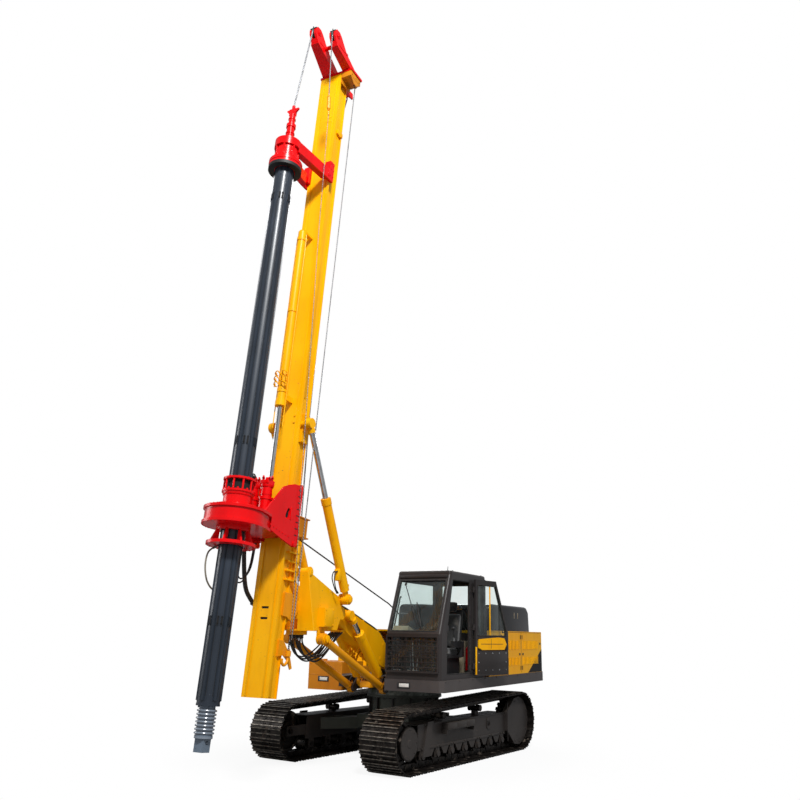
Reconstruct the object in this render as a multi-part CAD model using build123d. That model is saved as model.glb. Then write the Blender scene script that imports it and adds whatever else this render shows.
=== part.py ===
from build123d import *
from math import acos, atan2, cos, hypot, pi, radians, sin
import os

# Rotary piling rig: a tracked base carries an upper that slews, a cab, and a boom
# parallelogram that holds a leaning mast with its rotary drive and telescopic kelly.
# The machine faces -Y, its left (cab) side is +X, and Z = 0 is the ground under the
# slew axis. Lengths are millimetres and angles are degrees.

# ---- fits ----
SEAT = 0.3            # gap between pieces that touch
PIN_FIT = 0.3         # radial gap of an eye on its pin
RUN = 6.0             # gap between pieces that move past each other
SLIDE_FIT = 0.5       # gap of a slide pad on its rail

# ---- undercarriage ----
PARKING_SLEW = 5.65   # the upper is parked turned this far to the left of the tracks
TRACK_GAUGE = 2140.0
SHOE_WIDTH = 640.0
SHOE_DEPTH = 34.0
CHAIN_WIDTH = 170.0
CHAIN_DEPTH = 90.0
IDLER_Y = -1830.0
IDLER_RADIUS = 430.0      # to the outside of the shoes
SPROCKET_Y = 1755.0
SPROCKET_RADIUS = 485.0   # to the outside of the shoes
SPROCKET_TEETH = 21
ROLLER_RADIUS = 82.0
ROLLER_COUNT = 7
ROLLER_FIRST_Y = -1330.0
ROLLER_LAST_Y = 1220.0
CARRIER_RADIUS = 52.0
CARRIER_YS = (-620.0, 560.0)
FRAME_HALF_WIDTH = 170.0
FRAME_BOTTOM = 345.0
FRAME_SKIRT = 290.0      # bottom of the side plates that carry the rollers
FRAME_TOP = 650.0
FRAME_WALL = 16.0
SLEW_BOTTOM = 960.0
SLEW_RADIUS = 620.0
SLEW_BORE = 470.0

# ---- upper ----
DECK_BOTTOM = 1110.0
DECK_TOP = 1280.0
DECK_PLATE = 20.0
SKIRT_WALL = 30.0
UPPER_HALF_WIDTH = 1500.0
REAR_Y = 2990.0
REAR_CORNER = 60.0        # chamfer of the deck's rear corners
CAB_INNER_X = 510.0
CAB_OUTER_X = 1460.0
CAB_FRONT_Y = -1600.0
CAB_ROOF_FRONT_Y = -1250.0
CAB_REAR_Y = 150.0
CAB_SILL_Z = 1950.0
CAB_TOP_Z = 2860.0
ROOF_DEPTH = 60.0
CAB_WALL = 50.0
CAB_POST = 62.0           # width of the front posts beside the windscreens
LOWER_SCREEN = (1400.0, 1900.0)
WINDSCREEN_BOTTOM = 1985.0
QUARTER_WINDOW = (-370.0, 70.0)
HINGE_PIN = 9.0
HINGE_KNUCKLE = 18.0
CAB_CORNER = 45.0         # radius of the cab's front pillars and roof edges
FLOOR_DEPTH = 45.0
GLASS = 6.0
GLASS_INSET = 20.0        # panes lie this far inside the cab's faces
DOOR_THICK = 35.0
DOOR_HINGE_X = 1492.0
DOOR_HINGE_Y = -440.0
DOOR_OPEN = 168.0
BODY_TOP_Z = 2020.0
BODY_REAR_Y = 2890.0
BODY_INNER_X = 900.0
COVER_WALL = 30.0
HOOD_FRONT_Y = 700.0
HOOD_REAR_Y = 2820.0
HOOD_TOP_Z = 2490.0
HOOD_X = (-560.0, 1290.0)
HOOD_WALL = 40.0
TANK_FRONT_Y = -840.0
TANK_REAR_Y = -160.0
TANK_OUTER_X = -1430.0
TANK_INNER_X = -750.0
TANK_OVER_TRACK = 40.0    # gap between the tracks' tops and the front tank
TANK_BOTTOM_Z = 2 * max(IDLER_RADIUS, SPROCKET_RADIUS) + TANK_OVER_TRACK
TANK_HEIGHT = 455.0
TANK_STEP = 85.0          # how much lower the tank's rear part is
TANK_TOP_Z = TANK_BOTTOM_Z + TANK_HEIGHT
WINCH_Y = 640.0
WINCH_Z = 1690.0
WINCH_DRUM_RADIUS = 200.0
WINCH_FLANGE_RADIUS = 285.0
WINCH_HALF_WIDTH = 240.0
WINCH_SHAFT = 45.0
WINCH_PLATE = 30.0

# ---- boom parallelogram, pivots as (y, z) ----
BOOM_FOOT = (-720.0, 1470.0)
LINK_FOOT = (-1260.0, 1105.0)
LINK_ANGLE = 23.3
LINK_LENGTH = 1895.0
BOOM_HALF_WIDTH = 106.0
BOOM_WALL = 16.0
LINK_X = 296.0
LINK_RADIUS = 56.0
LINK_NECK = 110.0         # length of the narrow neck at each link eye
FRAME_PLATE_IN = 222.0
FRAME_PLATE_OUT = 245.0
LUFF_X = 190.0
LUFF_FOOT = (-1150.0, 1200.0)
LUFF_EYE = (-2130.0, 2195.0)
LUFF_RADIUS = 78.0
LUFF_ROD = 42.0
LUFF_BARREL = 1030.0      # from its eye to the gland face
LUFF_RESERVE = 400.0      # from the parked piston to the gland
MAST_CYL_X = 325.0
MAST_CYL_FOOT = (-2480.0, 2420.0)
MAST_CYL_RADIUS = 68.0
MAST_CYL_ROD = 40.0
MAST_CYL_BARREL = 1560.0
MAST_CYL_RESERVE = 220.0
PIN_RADIUS = 40.0

# ---- mast, in its own upright frame about its hinge ----
HINGE = (-3520.0, 2240.0)
MAST_LEAN = 5.33
MAST_FRONT = -462.0
MAST_DEPTH = 260.0
MAST_FLANGE_HALF = 210.0
MAST_BOX_HALF = 150.0
MAST_REAR_HALF = 170.0
MAST_PLATE = 14.0
RAIL_THICK = 25.0
MAST_BOTTOM = -1168.0
MAST_TOP = 9000.0
MAST_EYE = (-370.0, 2578.0)
MAST_EYE_BOSS = 44.0
HEAD_BOX = 105.0          # depth of the box under the head's overhang
KELLY_OFFSET = 847.0      # kelly axis in front of the rail face
KELLY_TUBE_RADIUS = 138.0
KELLY_TUBE_BORE = 116.0
KELLY_KEY_HEIGHT = 13.0
KELLY_KEY_WIDTH = 26.0
KELLY_KEYS = 6
KELLY_BOTTOM = -1290.0
GUIDE_BOTTOM = 6400.0
GUIDE_HEIGHT = 530.0
GUIDE_TOP = GUIDE_BOTTOM + GUIDE_HEIGHT
GUIDE_RING = 92.0         # depth of the damping ring under the guide's flange
GUIDE_BELL_RADIUS = 256.0
GUIDE_PLATE_RADIUS = 206.0
GUIDE_CLAMP = 300.0       # height of the clamps on the mast rails
SWIVEL_STEM = 60.0        # radius of the rope swivel's stem in the guide
STUB_HALF = 66.0
STUB_BORE = 22.0
STUB_BORE_UP = 105.0      # of the cross bore above the stub's end
BAR_RADIUS = 94.0
BAR_WALL = 24.0
SPRING_CORE = 74.0
SPRING_RADIUS = 120.0
STUB_BOTTOM = -1800.0
BAR_TOP = 6500.0
DRIVE_BOTTOM = 875.0
DRIVE_TOP = 1100.0
DRIVE_RADIUS = 390.0
KELLY_ROOM = 20.0         # from the kelly tube's face to the drive's bore
DRIVE_BORE = KELLY_TUBE_RADIUS + KELLY_ROOM
SLEEVE_WALL = 26.0
SLEEVE_RADIUS = DRIVE_BORE + SLEEVE_WALL
CAGE_RADIUS = DRIVE_BORE + 58.0
CAGE_BOTTOM = 1312.0
CAGE_TOP = 1505.0
CAGE_POSTS = 10
ADAPTER_BOTTOM = 620.0
ADAPTER_RADIUS = 318.0
ADAPTER_NECK = SLEEVE_RADIUS + 34.0
ADAPTER_BORE = DRIVE_BORE + 20.0
CARRIAGE_X = 300.0
CARRIAGE_PLATE = 25.0
CROWD_Y = -690.0
CROWD_BARREL = (2770.0, 5690.0)
CROWD_RADIUS = 65.0
CROWD_BORE = 48.0
CROWD_ROD = 34.0
CROWD_ROD_EYE = 1270.0
CROWD_EYE_RADIUS = 60.0
CROWD_PIN = 25.0
CROWD_ROD_TOP = 4930.0
MAIN_SHEAVE = (0.0, -1010.0, MAST_TOP + 440.0)
AUX_SHEAVE = (330.0, -900.0, MAST_TOP + 350.0)
SHEAVE_RADIUS = 112.0
SHEAVE_HALF = 20.0
SHEAVE_PIN = 26.0

SIDES = (("left", 1), ("right", -1))


# ---- shapes used throughout ----
def block(x, y, z):
    size = [b - a for a, b in (x, y, z)]
    centre = [(a + b) / 2 for a, b in (x, y, z)]
    return Pos(*centre) * Box(*size)


def prism_yz(points, x):
    face = make_face(Polyline(*points, close=True))
    return Pos(x[0], 0, 0) * extrude(Plane.YZ * face, amount=x[1] - x[0], dir=(1, 0, 0))


def prism_xy(points, z):
    face = make_face(Polyline(*points, close=True))
    return Pos(0, 0, z[0]) * extrude(face, amount=z[1] - z[0], dir=(0, 0, 1))


def round_x(centre, radius, x):
    y, z = centre
    return Pos((x[0] + x[1]) / 2, y, z) * Rot(0, 90, 0) * Cylinder(radius, x[1] - x[0])


def round_z(centre, radius, z):
    x, y = centre
    return Pos(x, y, (z[0] + z[1]) / 2) * Cylinder(radius, z[1] - z[0])


def belt(centre_a, radius_a, centre_b, radius_b):
    """The face that a taut belt round two circles encloses."""
    run = hypot(centre_b[0] - centre_a[0], centre_b[1] - centre_a[1])
    heading = atan2(centre_b[1] - centre_a[1], centre_b[0] - centre_a[0])
    spread = acos((radius_a - radius_b) / run)
    corners = []
    for centre, radius, turn in (
        (centre_a, radius_a, spread), (centre_b, radius_b, spread),
        (centre_b, radius_b, -spread), (centre_a, radius_a, -spread),
    ):
        angle = heading + turn
        corners.append((centre[0] + radius * cos(angle), centre[1] + radius * sin(angle)))
    face = make_face(Polyline(*corners, close=True))
    return face + Pos(*centre_a) * Circle(radius_a) + Pos(*centre_b) * Circle(radius_b)


def belt_x(centre_a, radius_a, centre_b, radius_b, x):
    face = Plane.YZ * belt(centre_a, radius_a, centre_b, radius_b)
    return Pos(x[0], 0, 0) * extrude(face, amount=x[1] - x[0], dir=(1, 0, 0))


def spaced(first, last, count):
    return [first + (last - first) * i / (count - 1) for i in range(count)]


parts = {}


# ---- undercarriage, built square and then turned by the parking slew ----
TRACK_X = TRACK_GAUGE / 2
idler_centre = (IDLER_Y, IDLER_RADIUS)
sprocket_centre = (SPROCKET_Y, SPROCKET_RADIUS)


def track_ring(outer_depth, inner_depth, width):
    outside = belt_x(
        idler_centre, IDLER_RADIUS - outer_depth,
        sprocket_centre, SPROCKET_RADIUS - outer_depth, (-width / 2, width / 2),
    )
    inside = belt_x(
        idler_centre, IDLER_RADIUS - inner_depth,
        sprocket_centre, SPROCKET_RADIUS - inner_depth, (-width, width),
    )
    return outside - inside


def make_track():
    shoes = track_ring(0, SHOE_DEPTH, SHOE_WIDTH)
    chain = track_ring(SHOE_DEPTH, SHOE_DEPTH + CHAIN_DEPTH, CHAIN_WIDTH)
    return shoes + chain


CHAIN_INSIDE = SHOE_DEPTH + CHAIN_DEPTH
IDLER_WHEEL = IDLER_RADIUS - CHAIN_INSIDE - SEAT
SPROCKET_WHEEL = SPROCKET_RADIUS - CHAIN_INSIDE - SEAT
roller_z = CHAIN_INSIDE + ROLLER_RADIUS + SEAT
roller_ys = spaced(ROLLER_FIRST_Y, ROLLER_LAST_Y, ROLLER_COUNT)
YOKE_PLATE = 30.0
GUARD_RADIUS = 405.0      # faceted guard over the sprocket's outer side
GUARD_INNER_X = 118.0
GUARD_OUTER_X = 222.0
IDLER_CAP_RADIUS = 232.0
IDLER_CAP_X = (215.0, 262.0)
YOKE_X = 105.0            # inner face of the idler's yoke plates
DRIVE_CASE_HALF = 110.0
AXLE = 38.0


def carrier_z(y):
    """Height of a carrier roller's axle under the sloping upper run of the chain."""
    idler_top = 2 * IDLER_RADIUS - CHAIN_INSIDE
    sprocket_top = 2 * SPROCKET_RADIUS - CHAIN_INSIDE
    run = SPROCKET_Y - IDLER_Y
    slope = (sprocket_top - idler_top) / run
    return idler_top + slope * (y - IDLER_Y) - (CARRIER_RADIUS + SEAT) * hypot(1, slope)


def make_track_frame():
    half = FRAME_HALF_WIDTH
    box_y = (IDLER_Y + IDLER_WHEEL + 60, SPROCKET_Y - SPROCKET_WHEEL - 60)
    shell = block((-half, half), box_y, (FRAME_BOTTOM, FRAME_TOP))
    hollow = block(
        (-half + FRAME_WALL, half - FRAME_WALL), (box_y[0] - 1, box_y[1] + 1),
        (FRAME_BOTTOM + FRAME_WALL, FRAME_TOP - FRAME_WALL),
    )
    frame = shell - hollow
    for side in (-1, 1):
        skirt = sorted((side * half, side * (half - YOKE_PLATE)))
        frame += block(skirt, box_y, (FRAME_SKIRT, FRAME_BOTTOM + 1))
        for y in roller_ys:
            frame += block(skirt, (y - 55, y + 55), (roller_z - 45, FRAME_SKIRT + 1))
    yoke_z = (IDLER_RADIUS - 75, IDLER_RADIUS + 75)
    for side in (-1, 1):
        inner, outer = sorted((side * YOKE_X, side * (YOKE_X + YOKE_PLATE)))
        frame += block((inner, outer), (IDLER_Y - 70, box_y[0] + FRAME_WALL), yoke_z)
        inner, outer = sorted((side * YOKE_X, side * (half - 1)))
        frame += block((inner, outer), (box_y[0], box_y[0] + FRAME_WALL), yoke_z)
    end = block((-half, half), (box_y[1] - 40, box_y[1]), (FRAME_BOTTOM, FRAME_TOP))
    arm = block(
        (-half, -DRIVE_CASE_HALF - 20), (box_y[1] - 40, SPROCKET_Y + 150),
        (SPROCKET_RADIUS - 150, SPROCKET_RADIUS + 115),
    )
    frame = frame + end + arm
    rear = box_y[1] - 1
    case = []
    for shrink in (0, FRAME_WALL):
        reach = GUARD_RADIUS - shrink
        ring = [(SPROCKET_Y + reach * cos(radians(a)), SPROCKET_RADIUS + reach * sin(radians(a)))
                for a in range(-112, 113, 28)]
        ring += [(rear + shrink, FRAME_TOP - shrink), (rear + shrink, FRAME_BOTTOM + shrink)]
        case.append(ring)
    frame += prism_yz(case[0], (GUARD_INNER_X, GUARD_OUTER_X))
    frame -= prism_yz(case[1], (GUARD_INNER_X - 1, GUARD_OUTER_X - FRAME_WALL))
    for y in roller_ys:
        frame -= round_x((y, roller_z), AXLE + SEAT, (-half - 1, half + 1))
    frame -= round_x(idler_centre, AXLE + SEAT, (-half - 1, half + 1))
    for y in CARRIER_YS:
        frame += block((-35, 35), (y - 60, y + 60), (FRAME_TOP - 1, carrier_z(y) - AXLE - SEAT))
    return frame


def make_rollers():
    rollers = []
    tread = CHAIN_WIDTH / 2 + 28
    inside = FRAME_HALF_WIDTH - YOKE_PLATE - 1
    for y in roller_ys:
        centre = (y, roller_z)
        roller = round_x(centre, ROLLER_RADIUS, (-tread, tread))
        for side in (-1, 1):
            flange = sorted((side * (CHAIN_WIDTH / 2 + 6), side * tread))
            roller += round_x(centre, ROLLER_RADIUS + 18, flange)
        roller += round_x(centre, AXLE + 20, (-inside, inside))
        roller += round_x(centre, AXLE, (-FRAME_HALF_WIDTH - 8, FRAME_HALF_WIDTH + 8))
        rollers.append(roller)
    for y in CARRIER_YS:
        centre = (y, carrier_z(y))
        roller = round_x(centre, CARRIER_RADIUS, (-tread, tread))
        roller -= round_x(centre, CARRIER_RADIUS + 1, (-36, 36))
        roller += round_x(centre, AXLE, (-tread, tread))
        rollers.append(roller)
    return rollers


def make_idler():
    inside = YOKE_X - 1
    wheel = round_x(idler_centre, IDLER_WHEEL, (-CHAIN_WIDTH / 2, CHAIN_WIDTH / 2))
    wheel += round_x(idler_centre, 150, (-inside, inside))
    for side in (-1, 1):
        outer = sorted((side * 55, side * (CHAIN_WIDTH / 2 + 1)))
        dish = round_x(idler_centre, IDLER_WHEEL - 45, outer)
        wheel -= dish - round_x(idler_centre, 150, outer)
    wheel += round_x(idler_centre, AXLE, (-FRAME_HALF_WIDTH, IDLER_CAP_X[1] - 1))
    return wheel + round_x(idler_centre, IDLER_CAP_RADIUS, IDLER_CAP_X)


def make_sprocket():
    """Toothed rim on a stepped final drive case, with its bolted outer cover."""
    tips = []
    for i in range(SPROCKET_TEETH * 2):
        angle = 2 * pi * (i + 0.5) / (SPROCKET_TEETH * 2)
        for reach in ((0, 1) if i % 2 else (1, 0)):
            radius = SPROCKET_WHEEL - 40 * reach
            tips.append((SPROCKET_Y + radius * cos(angle + 0.02 * (1 - 2 * (i % 2)) * reach),
                         SPROCKET_RADIUS + radius * sin(angle + 0.02 * (1 - 2 * (i % 2)) * reach)))
    rim = prism_yz(tips, (-CHAIN_WIDTH / 2 + 10, CHAIN_WIDTH / 2 - 10))
    centre = sprocket_centre
    case = round_x(centre, 235, (-DRIVE_CASE_HALF, DRIVE_CASE_HALF))
    case += round_x(centre, 190, (-DRIVE_CASE_HALF - 20 + SEAT, DRIVE_CASE_HALF + 70))
    return rim + case


def make_car_body():
    hub = block((-520, 520), (-640, 640), (430, 640))
    hub -= block((-500, 500), (-620, 620), (400, 620))
    hub += round_z((0, 0), SLEW_RADIUS, (620, 650))
    hub += round_z((0, 0), SLEW_RADIUS - 60, (640, SLEW_BOTTOM))
    hub -= round_z((0, 0), SLEW_BORE - 40, (600, SLEW_BOTTOM + 1))
    hub += round_z((0, 0), SLEW_RADIUS + 20, (SLEW_BOTTOM - 40, SLEW_BOTTOM)) \
        - round_z((0, 0), SLEW_BORE, (SLEW_BOTTOM - 41, SLEW_BOTTOM + 1))
    reach = TRACK_X - FRAME_HALF_WIDTH - SEAT
    for side in (-1, 1):
        for end in (-1, 1):
            plan = (
                (side * 500, end * 230), (side * 500, end * 630),
                (side * reach, end * 1120), (side * reach, end * 700),
            )
            leg = prism_xy(plan, (410, 590))
            hub += leg
    return hub


def make_slew_ring():
    ring = round_z((0, 0), SLEW_RADIUS, (SLEW_BOTTOM + SEAT, DECK_BOTTOM - SEAT))
    ring -= round_z((0, 0), SLEW_BORE, (SLEW_BOTTOM, DECK_BOTTOM))
    ring -= round_z((0, 0), SLEW_RADIUS + 1, (1045, 1060)) - round_z((0, 0), SLEW_RADIUS - 25, (1044, 1061))
    return ring


base = {"car_body": [make_car_body()], "slew_ring": [make_slew_ring()]}
for name, side in SIDES:
    shift = Pos(side * TRACK_X, 0, 0)
    flip = (lambda s: s) if side > 0 else (lambda s: mirror(s, about=Plane.YZ))
    base[f"{name}_track"] = [shift * flip(make_track())]
    base[f"{name}_track_frame"] = [shift * flip(make_track_frame())]
    base.setdefault("track_rollers", []).extend(shift * flip(r) for r in make_rollers())
    base.setdefault("track_idlers", []).append(shift * flip(make_idler()))
    base.setdefault("track_sprockets", []).append(shift * flip(make_sprocket()))
for node, solids in base.items():
    parts[node] = [Rot(0, 0, -PARKING_SLEW) * solid for solid in solids]


# ---- upper: deck, cab, covers, counterweight and winch ----
def side_point(origin, angle, along, above):
    """A point (y, z) measured from origin along a line that climbs forward at angle."""
    a = radians(angle)
    y = origin[0] - along * cos(a) + above * sin(a)
    z = origin[1] + along * sin(a) + above * cos(a)
    return (y, z)


BOOM_TIP = side_point(BOOM_FOOT, LINK_ANGLE, LINK_LENGTH, 0)
LINK_TIP = side_point(LINK_FOOT, LINK_ANGLE, LINK_LENGTH, 0)
EYE_RADIUS = PIN_RADIUS + 38
LINK_EYE_HALF = 36.0
LUFF_EYE_HALF = 28.0
MAST_CYL_EYE_HALF = 46.0
EAR_RADIUS = PIN_RADIUS + 28
EAR_THICK = 26.0
COLLAR_RADIUS = PIN_RADIUS + 22
DECK_FRONT_Y = -1300.0
NOTCH_HALF = 400.0         # the deck's front is cut back between the link ears
NOTCH_BACK_Y = -960.0


def collar(centre, x):
    """Spacer round a pin between two plates at x."""
    return round_x(centre, COLLAR_RADIUS, x)


def make_revolving_frame():
    half = UPPER_HALF_WIDTH
    outline = (
        (CAB_INNER_X, CAB_FRONT_Y), (half - 60, CAB_FRONT_Y), (half, CAB_FRONT_Y + 60),
        (half, REAR_Y - REAR_CORNER), (half - REAR_CORNER, REAR_Y), (-half + REAR_CORNER, REAR_Y),
        (-half, REAR_Y - REAR_CORNER), (-half, TANK_REAR_Y + SEAT),
        (TANK_INNER_X + SEAT, TANK_REAR_Y + SEAT),
        (TANK_INNER_X + SEAT, TANK_FRONT_Y), (-CAB_INNER_X, TANK_FRONT_Y),
        (-CAB_INNER_X, DECK_FRONT_Y), (-NOTCH_HALF, DECK_FRONT_Y), (-NOTCH_HALF, NOTCH_BACK_Y),
        (NOTCH_HALF, NOTCH_BACK_Y), (NOTCH_HALF, DECK_FRONT_Y), (CAB_INNER_X, DECK_FRONT_Y),
    )
    deck = prism_xy(outline, (DECK_BOTTOM, DECK_TOP))
    w = SKIRT_WALL
    pocket_outline = (
        (CAB_INNER_X + w, CAB_FRONT_Y + w), (half - 60, CAB_FRONT_Y + w), (half - w, CAB_FRONT_Y + 60),
        (half - w, REAR_Y - REAR_CORNER), (half - REAR_CORNER, REAR_Y - w),
        (-half + REAR_CORNER, REAR_Y - w),
        (-half + w, REAR_Y - REAR_CORNER), (-half + w, TANK_REAR_Y + w),
        (TANK_INNER_X + w, TANK_REAR_Y + w),
        (TANK_INNER_X + w, TANK_FRONT_Y + w), (-CAB_INNER_X + w, TANK_FRONT_Y + w),
        (-CAB_INNER_X + w, DECK_FRONT_Y + w), (-NOTCH_HALF - w, DECK_FRONT_Y + w),
        (-NOTCH_HALF - w, NOTCH_BACK_Y + w), (NOTCH_HALF + w, NOTCH_BACK_Y + w),
        (NOTCH_HALF + w, DECK_FRONT_Y + w), (CAB_INNER_X + w, DECK_FRONT_Y + w),
    )
    frame = deck - prism_xy(pocket_outline, (DECK_BOTTOM - 1, DECK_TOP - DECK_PLATE))
    for side in (-1, 1):
        web = sorted((side * (NOTCH_HALF + 40), side * (NOTCH_HALF + 70)))
        frame += block(web, (DECK_FRONT_Y + 10, REAR_Y - w), (DECK_BOTTOM, DECK_TOP - 1))
    ring = round_z((0, 0), SLEW_RADIUS, (DECK_BOTTOM, DECK_TOP - 1))
    frame += ring - round_z((0, 0), SLEW_BORE, (DECK_BOTTOM - 1, DECK_TOP))
    tower_x = (BOOM_HALF_WIDTH + 10, BOOM_HALF_WIDTH + 42)
    tower = belt_x(BOOM_FOOT, 105, (BOOM_FOOT[0] + 330, DECK_TOP), 150, tower_x)
    ears = tower - block((0, 400), (-1500, 500), (0, DECK_TOP - 1))
    luff_eye = (LUFF_X - LUFF_EYE_HALF, LUFF_X + LUFF_EYE_HALF)
    link_eye = (LINK_X - LINK_EYE_HALF, LINK_X + LINK_EYE_HALF)
    first = luff_eye[0] - RUN - EAR_THICK
    middle = luff_eye[1] + RUN
    last = link_eye[1] + RUN
    back = (NOTCH_BACK_Y + 10, LUFF_FOOT[1] - 20)
    ears += belt_x(LUFF_FOOT, EAR_RADIUS, back, EAR_RADIUS, (first, first + EAR_THICK))
    for x in (middle, last):
        plate_x = (x, x + EAR_THICK)
        ears += belt_x(LUFF_FOOT, EAR_RADIUS, LINK_FOOT, EAR_RADIUS - 6, plate_x)
        ears += belt_x(LUFF_FOOT, EAR_RADIUS, back, EAR_RADIUS, plate_x)
    ears += round_x(LUFF_FOOT, PIN_RADIUS, (first, middle + EAR_THICK))
    ears += collar(LUFF_FOOT, (first + EAR_THICK - 1, luff_eye[0] - SLIDE_FIT))
    ears += collar(LUFF_FOOT, (luff_eye[1] + SLIDE_FIT, middle + 1))
    ears += round_x(LINK_FOOT, PIN_RADIUS, (middle, last + EAR_THICK))
    ears += collar(LINK_FOOT, (middle + EAR_THICK - 1, link_eye[0] - SLIDE_FIT))
    ears += collar(LINK_FOOT, (link_eye[1] + SLIDE_FIT, last + 1))
    frame = frame + ears + mirror(ears, about=Plane.YZ)
    frame += round_x(BOOM_FOOT, PIN_RADIUS, (-tower_x[1], tower_x[1]))
    return frame


FRONT_PROFILE = (
    (CAB_FRONT_Y, DECK_TOP + SEAT), (CAB_FRONT_Y, CAB_SILL_Z), (CAB_ROOF_FRONT_Y, CAB_TOP_Z),
)
WINDOW_BOTTOM = 1900.0
WINDOW_TOP = 2770.0
DOOR_SPAN = (-1425.0, -470.0)     # along y when closed
DOOR_BOTTOM = 1310.0
DOOR_TOP = 2830.0
DOOR_TOP_SPAN = 600.0
DOOR_WINDOW = (1930.0, 2750.0)


def sloped_y(z, inset=0.0):
    """The y of the cab's raked front at height z, moved inward by inset."""
    rake = (CAB_ROOF_FRONT_Y - CAB_FRONT_Y) / (CAB_TOP_Z - CAB_SILL_Z)
    return CAB_FRONT_Y + rake * (z - CAB_SILL_Z) + inset * hypot(1, rake)


def make_cab_frame():
    outer = prism_yz(FRONT_PROFILE + ((CAB_REAR_Y, CAB_TOP_Z), (CAB_REAR_Y, DECK_TOP + SEAT)),
                     (CAB_INNER_X, CAB_OUTER_X))
    pillars = [edge for edge in outer.edges() if edge.center().Y < CAB_ROOF_FRONT_Y + 1
               and abs(edge.tangent_at(0.5).X) < 0.5
                and edge.center().Z < CAB_TOP_Z - 1 and edge.length > 500]
    outer = fillet(pillars, CAB_CORNER)
    w = CAB_WALL
    inner = prism_yz(
        ((CAB_FRONT_Y + w, DECK_TOP - 1), (CAB_FRONT_Y + w, CAB_SILL_Z),
         (sloped_y(CAB_TOP_Z + 1, w), CAB_TOP_Z + 1), (CAB_REAR_Y - w, CAB_TOP_Z + 1),
         (CAB_REAR_Y - w, DECK_TOP - 1)), (CAB_INNER_X + w, CAB_OUTER_X - w))
    cab = outer - inner
    front_x = (CAB_INNER_X + CAB_POST, CAB_OUTER_X - CAB_POST)
    cab -= block(front_x, (CAB_FRONT_Y - 1, CAB_FRONT_Y + w + 1), LOWER_SCREEN)
    low = WINDSCREEN_BOTTOM
    cab -= prism_yz(((sloped_y(low, -20), low), (sloped_y(low, w + 20), low),
                     (sloped_y(WINDOW_TOP, w + 20), WINDOW_TOP),
                     (sloped_y(WINDOW_TOP, -20), WINDOW_TOP)), front_x)
    cab -= block((CAB_INNER_X + 120, CAB_OUTER_X - 120), (CAB_REAR_Y - w - 1, CAB_REAR_Y + 1),
                 (WINDOW_BOTTOM + 60, WINDOW_TOP))
    right = ((-1480, WINDOW_BOTTOM), (-1480, 1990), (sloped_y(WINDOW_TOP, 95), WINDOW_TOP),
             (60, WINDOW_TOP), (60, WINDOW_BOTTOM))
    cab -= prism_yz(right, (CAB_INNER_X - 1, CAB_INNER_X + w + 1))
    doorway = ((DOOR_SPAN[0] + 45, DOOR_BOTTOM + 45), (DOOR_SPAN[0] + 45, 1990),
               (sloped_y(DOOR_TOP - 45, 95), DOOR_TOP - 45), (DOOR_SPAN[1] - 20, DOOR_TOP - 45),
               (DOOR_SPAN[1] - 20, DOOR_BOTTOM + 45))
    cab -= prism_yz(doorway, (CAB_OUTER_X - w - 1, CAB_OUTER_X + 1))
    cab -= block((CAB_OUTER_X - w - 1, CAB_OUTER_X + 1), QUARTER_WINDOW, (WINDOW_BOTTOM, WINDOW_TOP))
    for z in HINGE_ZS:
        lug = block((CAB_OUTER_X - 1, DOOR_HINGE_X), (DOOR_HINGE_Y - 14, DOOR_HINGE_Y + 14),
                    (z - 60, z - 32))
        lug += round_z((DOOR_HINGE_X, DOOR_HINGE_Y), HINGE_KNUCKLE, (z - 60, z - 32))
        lug += round_z((DOOR_HINGE_X, DOOR_HINGE_Y), HINGE_PIN, (z - 33, z + 30))
        cab += lug
    return cab


HINGE_ZS = (1480.0, 2080.0, 2680.0)


def make_cab_roof():
    top = CAB_TOP_Z + ROOF_DEPTH
    roof = block((CAB_INNER_X, CAB_OUTER_X), (CAB_ROOF_FRONT_Y, CAB_REAR_Y), (CAB_TOP_Z + SEAT, top))
    roof = fillet(roof.edges().filter_by(Axis.Z), CAB_CORNER)
    roof = fillet(roof.faces().sort_by(Axis.Z)[-1].edges(), CAB_CORNER - 5)
    return roof - block((CAB_INNER_X + 60, CAB_OUTER_X - 60), (CAB_ROOF_FRONT_Y + 90, CAB_REAR_Y - 60),
                        (CAB_TOP_Z - 1, top - 25))


def make_cab_floor():
    w = CAB_WALL + SEAT
    return block((CAB_INNER_X + w, CAB_OUTER_X - w), (CAB_FRONT_Y + w, CAB_REAR_Y - w),
                 (DECK_TOP + SEAT, DECK_TOP + FLOOR_DEPTH))


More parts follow.
